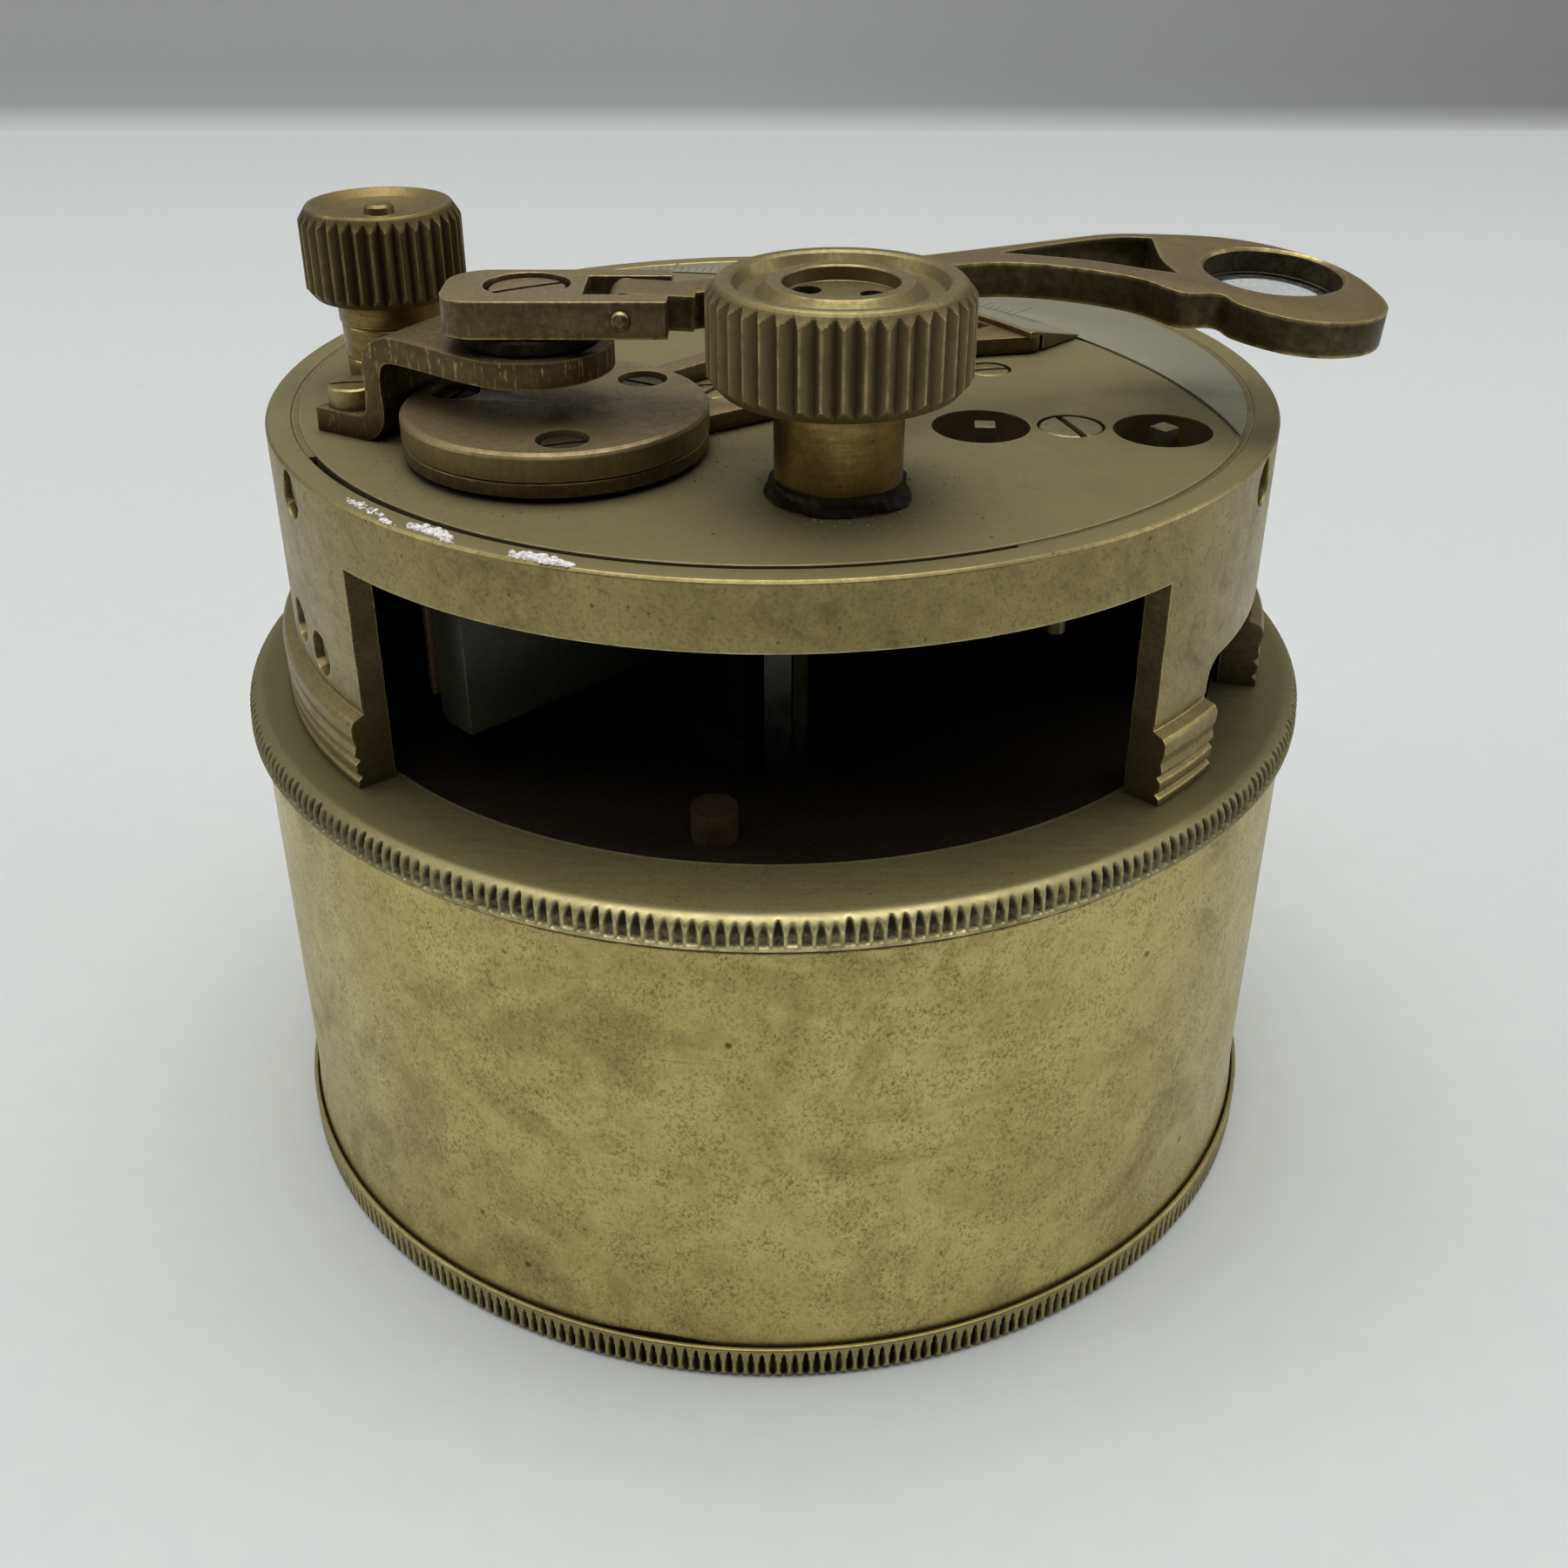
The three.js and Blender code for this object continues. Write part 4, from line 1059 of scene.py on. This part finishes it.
def make_mirror():
    side = [(-1.6, 40.0), (-1.5, 39.95), (1.1, 39.95), (1.6, 40.5), (1.6, 48.2), (-1.6, 48.2)]
    glass = plate("index_mirror_piece", side, -9.45, 8.8)
    glass = bevel(turn(turn(glass, 90, "X"), 90), 0.15, 2, 40)
    backing = bevel(block("mirror_backing", -9.8, 7.5, 1.62, 2.1, 41.8, 48.2), 0.1, 2)
    for obj in (glass, backing):
        move(turn(obj, ARM_DIR), *PIVOT)
    put(glass, "index", "mirror", MIRROR, "index_mirror")
    put(backing, "index", "olive_brass", PIN)


# ---- magnifier ----
def smoothstep(x):
    x = min(1.0, max(0.0, x))
    return x * x * (3 - 2 * x)


def make_bracket():
    """A strip bent into a Z, widening into a round upper end about the swivel."""
    low, high, end = 56.84, 62.2, 5
    middle = [(14.3, low), (9.3, low), (9.3, high), (-5.0, high)]
    points = [p for p in dense(fillet(middle, [0, 1.7, 1.9, 0], 12), 0.3) if p[0] > -1.5]
    points = np.array(points + [(-end * math.sin(t), high) for t in np.linspace(0.36, math.pi / 2, 16)])
    tangent = np.gradient(points, axis=0)
    tangent /= np.linalg.norm(tangent, axis=1)[:, None]
    normal = np.stack([tangent[:, 1], -tangent[:, 0]], 1)
    columns = 12
    sides = ([], [])
    for (a, z), n in zip(points, normal):
        half = 0.78 - 0.16 * (1 - abs(2 * smoothstep((z - 56.8) / 5.4) - 1))
        if z > 61 and a < 0:
            front = back = max(0.05, math.sqrt(max(0.0, end ** 2 - a * a)))
        else:
            widen = 1 - smoothstep(a / 8) if z > 61 else 0.0
            front, back = 4.2 + 0.8 * widen, 3.6 + 1.4 * widen
        across = [-back + (front + back) * k / columns for k in range(columns + 1)]
        for side, offset in zip(sides, (half, -half)):
            side.append([(a + n[0] * offset, y, z + n[1] * offset) for y in across])
    bracket = bevel(shell("bracket_piece", *sides), 0.1, 2, 50)
    put(move(turn(bracket, BRACKET_DIR), *SWIVEL), "instrument", "bronze", BRACKET, "bracket", angle=40)


def make_bracket_screws():
    head = screw_head("foot_screw_piece", 1.6, 57.5, 58.95, 0.42, 0.5, 0.05, slot_deg=8)
    spot = polar(2.4, BRACKET_DIR + 90, polar(12.6, BRACKET_DIR, SWIVEL))
    put(move(head, *spot), "instrument", "olive_brass", OLIVE, "foot_screw")
    washer = [(1.3, 63.0), (3.8, 63.0), (4.15, 63.2), (4.15, 63.9), (3.9, 64.05), (1.3, 64.05)]
    spacer = lathe("spacer_piece", fillet(washer, 0.1, 3, closed=True), SWIVEL, 128)
    put(spacer, "instrument", "bronze", PITCH, "spacer")
    pivot = screw_head("swivel_screw_piece", 2.35, 65.15, 66.08, 0.45, 0.4, 0.03, slot_deg=30)
    put(move(pivot, *SWIVEL), "instrument", "bronze", BLOCK, "swivel_screw")


def make_swivel_block():
    fork = [(-6, -18), (-6, -16.3), (-11, -16.3), (-11, -12.2), (-6, -12.2), (-6, -10.7)]
    radii = [0.2, 0.05, 0.1, 0.1, 0.05, 0.2]
    quarter = np.linspace(math.pi / 2, 0, 9)
    round_end = [(-16.8 - 2.6 * math.cos(t), -13.3 + 2.6 * math.sin(t)) for t in quarter]
    round_end += [(-17.2 - 2.2 * math.sin(t), -15.8 - 2.2 * math.cos(t)) for t in quarter]
    outline = fillet(fork + round_end, radii + [0] * len(round_end), 4, closed=True)
    body = plate("swivel_block_piece", outline, 64.1, 66.3)
    boolean(body, [rod("hole", 2.6, 65.1, 68, SWIVEL, 96)])
    bevel(body, 0.16, 3, 40)
    put(body, "swivel", "bronze", BLOCK, "swivel_block", angle=35)
    profile = [(0, 10.7), (0.6, 10.7), (0.6, 18.2), (0.5, 18.38), (0.25, 18.5), (0, 18.52)]
    pin = turn(lathe("hinge_pin_piece", fillet(profile, 0.08, 3), segments=48), 90, "X")
    put(move(pin, HINGE[0], 0, HINGE[2]), "swivel", "bronze", BLOCK, "hinge_pin")


ARM_OUTLINE = [
    (3.2, -0.6), (4.8, -0.2), (12.3, 3.4), (19.9, 6.85), (23.8, 7.95), (27.8, 7.6), (31.6, 6.2), (33.9, 4),
    (36.2, 4.1), (37.1, 2.4), (39.3, 0.6), (41.3, -0.05), (43.2, 0.05), (44.8, 0.75), (46.0, 2.0),
    (46.6, 3.7), (46.55, 6), (46, 8.8), (44.5, 11.7), (41.7, 14.2), (38.4, 15.4), (34.1, 15.35),
    (30.9, 14.8), (27.5, 13.2), (23.1, 10.95), (17.8, 8.3), (11.2, 5.2), (4.8, 2.2), (3.2, 1.6)]
ARM_CORNERS = (0, 28)
ARM_OPENING = [
    (23.3, 9.9), (28.6, 9.3), (32.4, 8.1), (34.3, 7.6), (33.7, 10.3), (33.8, 14.5), (31.5, 14.2),
    (27.8, 12.5)]
OPENING_CORNERS = (0, 3, 5)
LENS_AT = (40.7, 9.0)


def spline(points, corners):
    """A closed Catmull-Rom curve, six points to a stretch, that keeps the listed corners sharp."""
    count = len(points)
    p = np.array(points, float)
    out = []
    for i in range(count):
        j = (i + 1) % count
        a, b = p[i], p[j]
        before = p[i - 1] if i not in corners else a - (b - a)
        after = p[(j + 1) % count] if j not in corners else b + (b - a)
        for t in np.linspace(0, 1, 6, endpoint=False):
            q = 0.5 * (2 * a + (b - before) * t + (2 * before - 5 * a + 4 * b - after) * t * t
                       + (3 * a - before - 3 * b + after) * t ** 3)
            out.append(tuple(q))
    return out


def in_lens_hole(c, n):
    """True on the bore that holds the lens."""
    roll, tilt = math.radians(ARM_ROLL), math.radians(ARM_TILT)
    centre = Vector((LENS_AT[0], LENS_AT[1] * math.cos(roll), LENS_AT[1] * math.sin(roll) + 1))
    centre.rotate(Matrix.Rotation(tilt, 3, "Y"))
    return from_axis(c, (HINGE[0] + centre.x, HINGE[1] + centre.y)) < 4.9 and abs(n.z) < 0.4


def make_magnifier():
    arm = plate("magnifier_arm_piece", spline(ARM_OUTLINE, ARM_CORNERS), -2.25, 0)
    hole = lathe("hole", [(0, -4), (4.4, -4), (4.4, -0.2), (4.6, 0), (4.6, 2), (0, 2)], LENS_AT, 128)
    boolean(arm, [plate("opening", spline(ARM_OPENING, OPENING_CORNERS), -4, 2), hole])
    bevel(arm, 0.36, 3, 38)
    lens = [(0, -2.2), (1.5, -2.17), (3.0, -2.06), (4.35, -1.9), (4.35, -1.76), (3.0, -1.62), (1.5, -1.54),
            (0, -1.5)]
    glass = lathe("lens_piece", fillet(lens, [0, 0.5, 0.5, 0, 0, 0.5, 0.5, 0], 4), LENS_AT, 96)
    profile = [
        (3.9, -2.3), (4.42, -2.3), (4.42, -1.5), (4.2, -1.55), (4.38, -1.72), (4.38, -1.95), (3.9, -2.1)]
    seat = lathe("lens_seat", fillet(profile, 0.04, 2, closed=True), LENS_AT, 96)
    for obj in (arm, glass, seat):
        move(turn(obj, ARM_ROLL, "X"), 0, 0, 1)
    barrel = turn(rod("barrel", 1.05, -1.7, 1.7, segments=40), 90, "X")
    tang = bevel(block("tang", 0, 4.2, -1.7, 1.7, -1.05, 1.05), 0.1, 2)
    boolean(arm, [barrel, tang], "UNION")
    for obj in (arm, glass, seat):
        move(turn(obj, ARM_TILT, "Y"), *HINGE)
    put(arm, "magnifier", "bronze", ARM, "magnifier_arm", angle=35, paint=[(DIRT_AND_PAINTED_SHADE, in_lens_hole)])
    put(glass, "magnifier", "lens_glass", LENS, "lens")
    put(seat, "magnifier", "bronze", DIRT_AND_PAINTED_SHADE)


# ---- residue, fluff and grit ----
def make_flakes():
    """Three patches of crumbling white residue on the front rim of the ring."""
    verts, faces = [], []
    patches = ((-134.5, 3.6, 33.35, 0.22, 70, 0.1), (-129.6, 1.2, 33.8, 0.12, 14, 0.13),
               (-124.6, 2.6, 33.25, 0.26, 150, 0.15), (-121.8, 1.0, 33.7, 0.15, 26, 0.12),
               (-112.2, 2.6, 33.55, 0.2, 190, 0.18), (-109.4, 1.3, 33.75, 0.14, 60, 0.16))
    for centre, spread, middle, band, count, crumb in patches:
        for _ in range(count):
            deg = centre + float(np.clip(rng.normal(0, spread * 0.45), -spread, spread))
            r = middle + float(rng.normal(0, band * 0.6))
            size = crumb * (0.35 + 1.1 * rng.rand() ** 2)
            if r + size <= WALL_R and r - size >= 32.55:
                add_crumb(verts, faces, polar(r, deg), size)
    put(from_arrays("white_residue", verts, faces), "instrument", "olive_brass", FLAKE, angle=60)


def make_fluff():
    """Fine fluff and grit that has gathered on the plate round the disc and the knob."""
    verts, faces = [], []
    for centre, reach, count in ((PIVOT, 10.0, 170), (KNOB, 4.6, 110), (KNOB, 6.5, 60), ((4, -26), 7, 50)):
        for _ in range(count):
            spot = polar(reach + 0.9 * abs(rng.normal(0, 1)), 360 * rng.rand(), centre)
            if math.hypot(*spot) < 31 and math.dist(spot, KNOB) > 4.3:
                add_crumb(verts, faces, spot, 0.025 + 0.06 * rng.rand() ** 2)
    put(from_arrays("plate_fluff", verts, faces), "instrument", "olive_brass", FLUFF, angle=60)


def add_crumb(verts, faces, spot, size):
    """A low irregular lump lying level with the top plate."""
    sides = 7
    radii = size * (0.55 + 0.8 * rng.rand(sides))
    start, height = 6.28 * rng.rand(), 0.3 * size + 0.9 * size * rng.rand()
    rings = []
    for grow, z in ((1.0, DECK - 0.02), (0.95, DECK + 0.6 * height), (0.5, DECK + height)):
        rings.append(list(range(len(verts), len(verts) + sides)))
        for k in range(sides):
            a = start + 2 * math.pi * k / sides
            lift = 0.015 * rng.rand()
            x, y = spot[0] + 1.25 * grow * radii[k] * math.cos(a), spot[1] + grow * radii[k] * math.sin(a)
            verts.append((x, y, z + lift))
    foot, middle, top = rings
    faces += [foot[::-1], top, *walls(foot, middle), *walls(middle, top)]


# ---- nodes that keep their CAD shape ----
def dress_cad():
    # the parts inside the box take the painted shade of its inside
    looks = {"adjuster_bridge": INNER_PAINTED_SHADE, "horizon_glass": HORIZON, "horizon_carrier": INNER_PAINTED_SHADE,
             "shade_glass": SHADE, "shade_holder": INNER_PAINTED_SHADE, "floor_pin": PIN, "index_spindle": PIN,
             "index_sector": INNER_PAINTED_SHADE, "mirror_frame": PIN, "pinion": PIN}
    for name, material in looks.items():
        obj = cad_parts[name]
        obj.data.materials.clear()
        obj.data.materials.append(material)


# ---- stage, light, camera ----
def make_stage():
    """A pale table top that ends at a soft grey backdrop."""
    edge, bend = 409, 6
    section = [(-900, 0), (-300, 0), (300, 0), (edge - bend, 0)]
    for t in np.linspace(0, math.pi / 2, 8)[1:]:
        section.append((edge - bend + bend * math.sin(t), bend * (1 - math.cos(t))))
    section.append((edge, 900))
    verts = [(x * MM, y * MM, z * MM) for y, z in section for x in (-1500, 1500)]
    faces = [(2 * i, 2 * i + 1, 2 * i + 3, 2 * i + 2) for i in range(len(section) - 1)]
    floor = bpy.data.meshes.new("studio_floor")
    floor.from_pydata(verts, [], faces)
    obj = link("studio_floor", floor)
    for polygon in floor.polygons:
        polygon.use_smooth = True
    n = material_nodes("paper")
    x, y, z = n.axes(n.coords())
    grain = n.noise(n.coords(), 0.35, 4)
    pale = n.mix(n.spread(grain, 0.35, 0.7), (0.575, 0.59, 0.58), (0.59, 0.605, 0.59))
    # painted shade: the backdrop darkens a little upwards and much more towards the right
    backdrop_painted_shade = n.mix(n.spread(z, 1, 15), (0.47, 0.48, 0.475), (0.42, 0.425, 0.42))
    backdrop_painted_shade = n.mix(n.spread(x, -20, 230, 0, 0.55), backdrop_painted_shade, (0.18, 0.18, 0.175))
    colour = n.mix(n.spread(y, edge - 10, edge - 0.5), pale, backdrop_painted_shade)
    floor.materials.append(n.shade(colour, 0.8, **{"Specular IOR Level": 0.15}))
    obj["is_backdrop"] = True


def area_light(name, position, size, power, colour=(1, 1, 1), target=(0, 0, 0)):
    data = bpy.data.lights.new(name, "AREA")
    data.shape = "RECTANGLE"
    data.size, data.size_y = size
    data.energy = power
    data.color = colour
    obj = link(name, data)
    obj.location = Vector(position)
    obj.rotation_euler = (Vector(target) - Vector(position)).to_track_quat("-Z", "Y").to_euler()


def make_light():
    """Soft light from above and both sides, and a darker room behind the camera."""
    area_light("ceiling", (0.0, 0.15, 1.15), (1.1, 1.1), 13.5, (0.985, 0.995, 1.0))
    area_light("back_strip", (0.0, 0.78, 1.05), (1.4, 0.14), 2.6)
    area_light("front_top", (0.0, -0.75, 1.15), (0.9, 0.4), 3.0)
    area_light("window_left", (-0.85, -0.05, 0.6), (0.6, 0.6), 2.0, target=(0, 0, 0.03))
    area_light("window_right", (0.95, 0.1, 0.5), (0.5, 0.6), 2.2, target=(0, 0, 0.03))
    world = bpy.data.worlds.new("studio")
    n = Nodes(world)
    y = n.axes(n.add("ShaderNodeTexCoord").outputs["Generated"])["Y"]
    room = n.mix(n.spread(y, -0.75, 0.25), (0.05, 0.05, 0.048), (0.62, 0.64, 0.645))
    background = n.tree.nodes["Background"]
    n.feed(background.inputs["Color"], room)
    n.feed(background.inputs["Strength"], 0.6)
    bpy.context.scene.world = world
    bpy.context.scene.view_settings.view_transform = "Standard"


def make_camera():
    data = bpy.data.cameras.new("view")
    data.sensor_fit = "HORIZONTAL"
    data.sensor_width = 36
    data.lens = LENS_MM
    data.clip_start = 0.001
    data.clip_end = 20
    camera = link("view", data)
    camera.location = tuple(c * MM for c in CAMERA_AT)
    camera.rotation_euler = (math.radians(CAMERA_PITCH), 0, 0)
    bpy.context.scene.camera = camera


for make in (make_camera, make_cover, make_flange, make_wall, make_wall_screws, make_deck, make_gap_dirt,
             make_arc, make_deck_screws, make_collar, make_knob, make_key, make_adjusters, make_index_arm,
             make_vernier, make_cap, make_mirror, make_bracket, make_bracket_screws, make_swivel_block,
             make_magnifier, make_flakes, make_fluff, dress_cad, make_stage, make_light):
    make()


def plain(value):
    return [plain(v) for v in value] if hasattr(value, "__len__") else float(value)


{"cad": plain(cad_box), "visual": plain(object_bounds())}
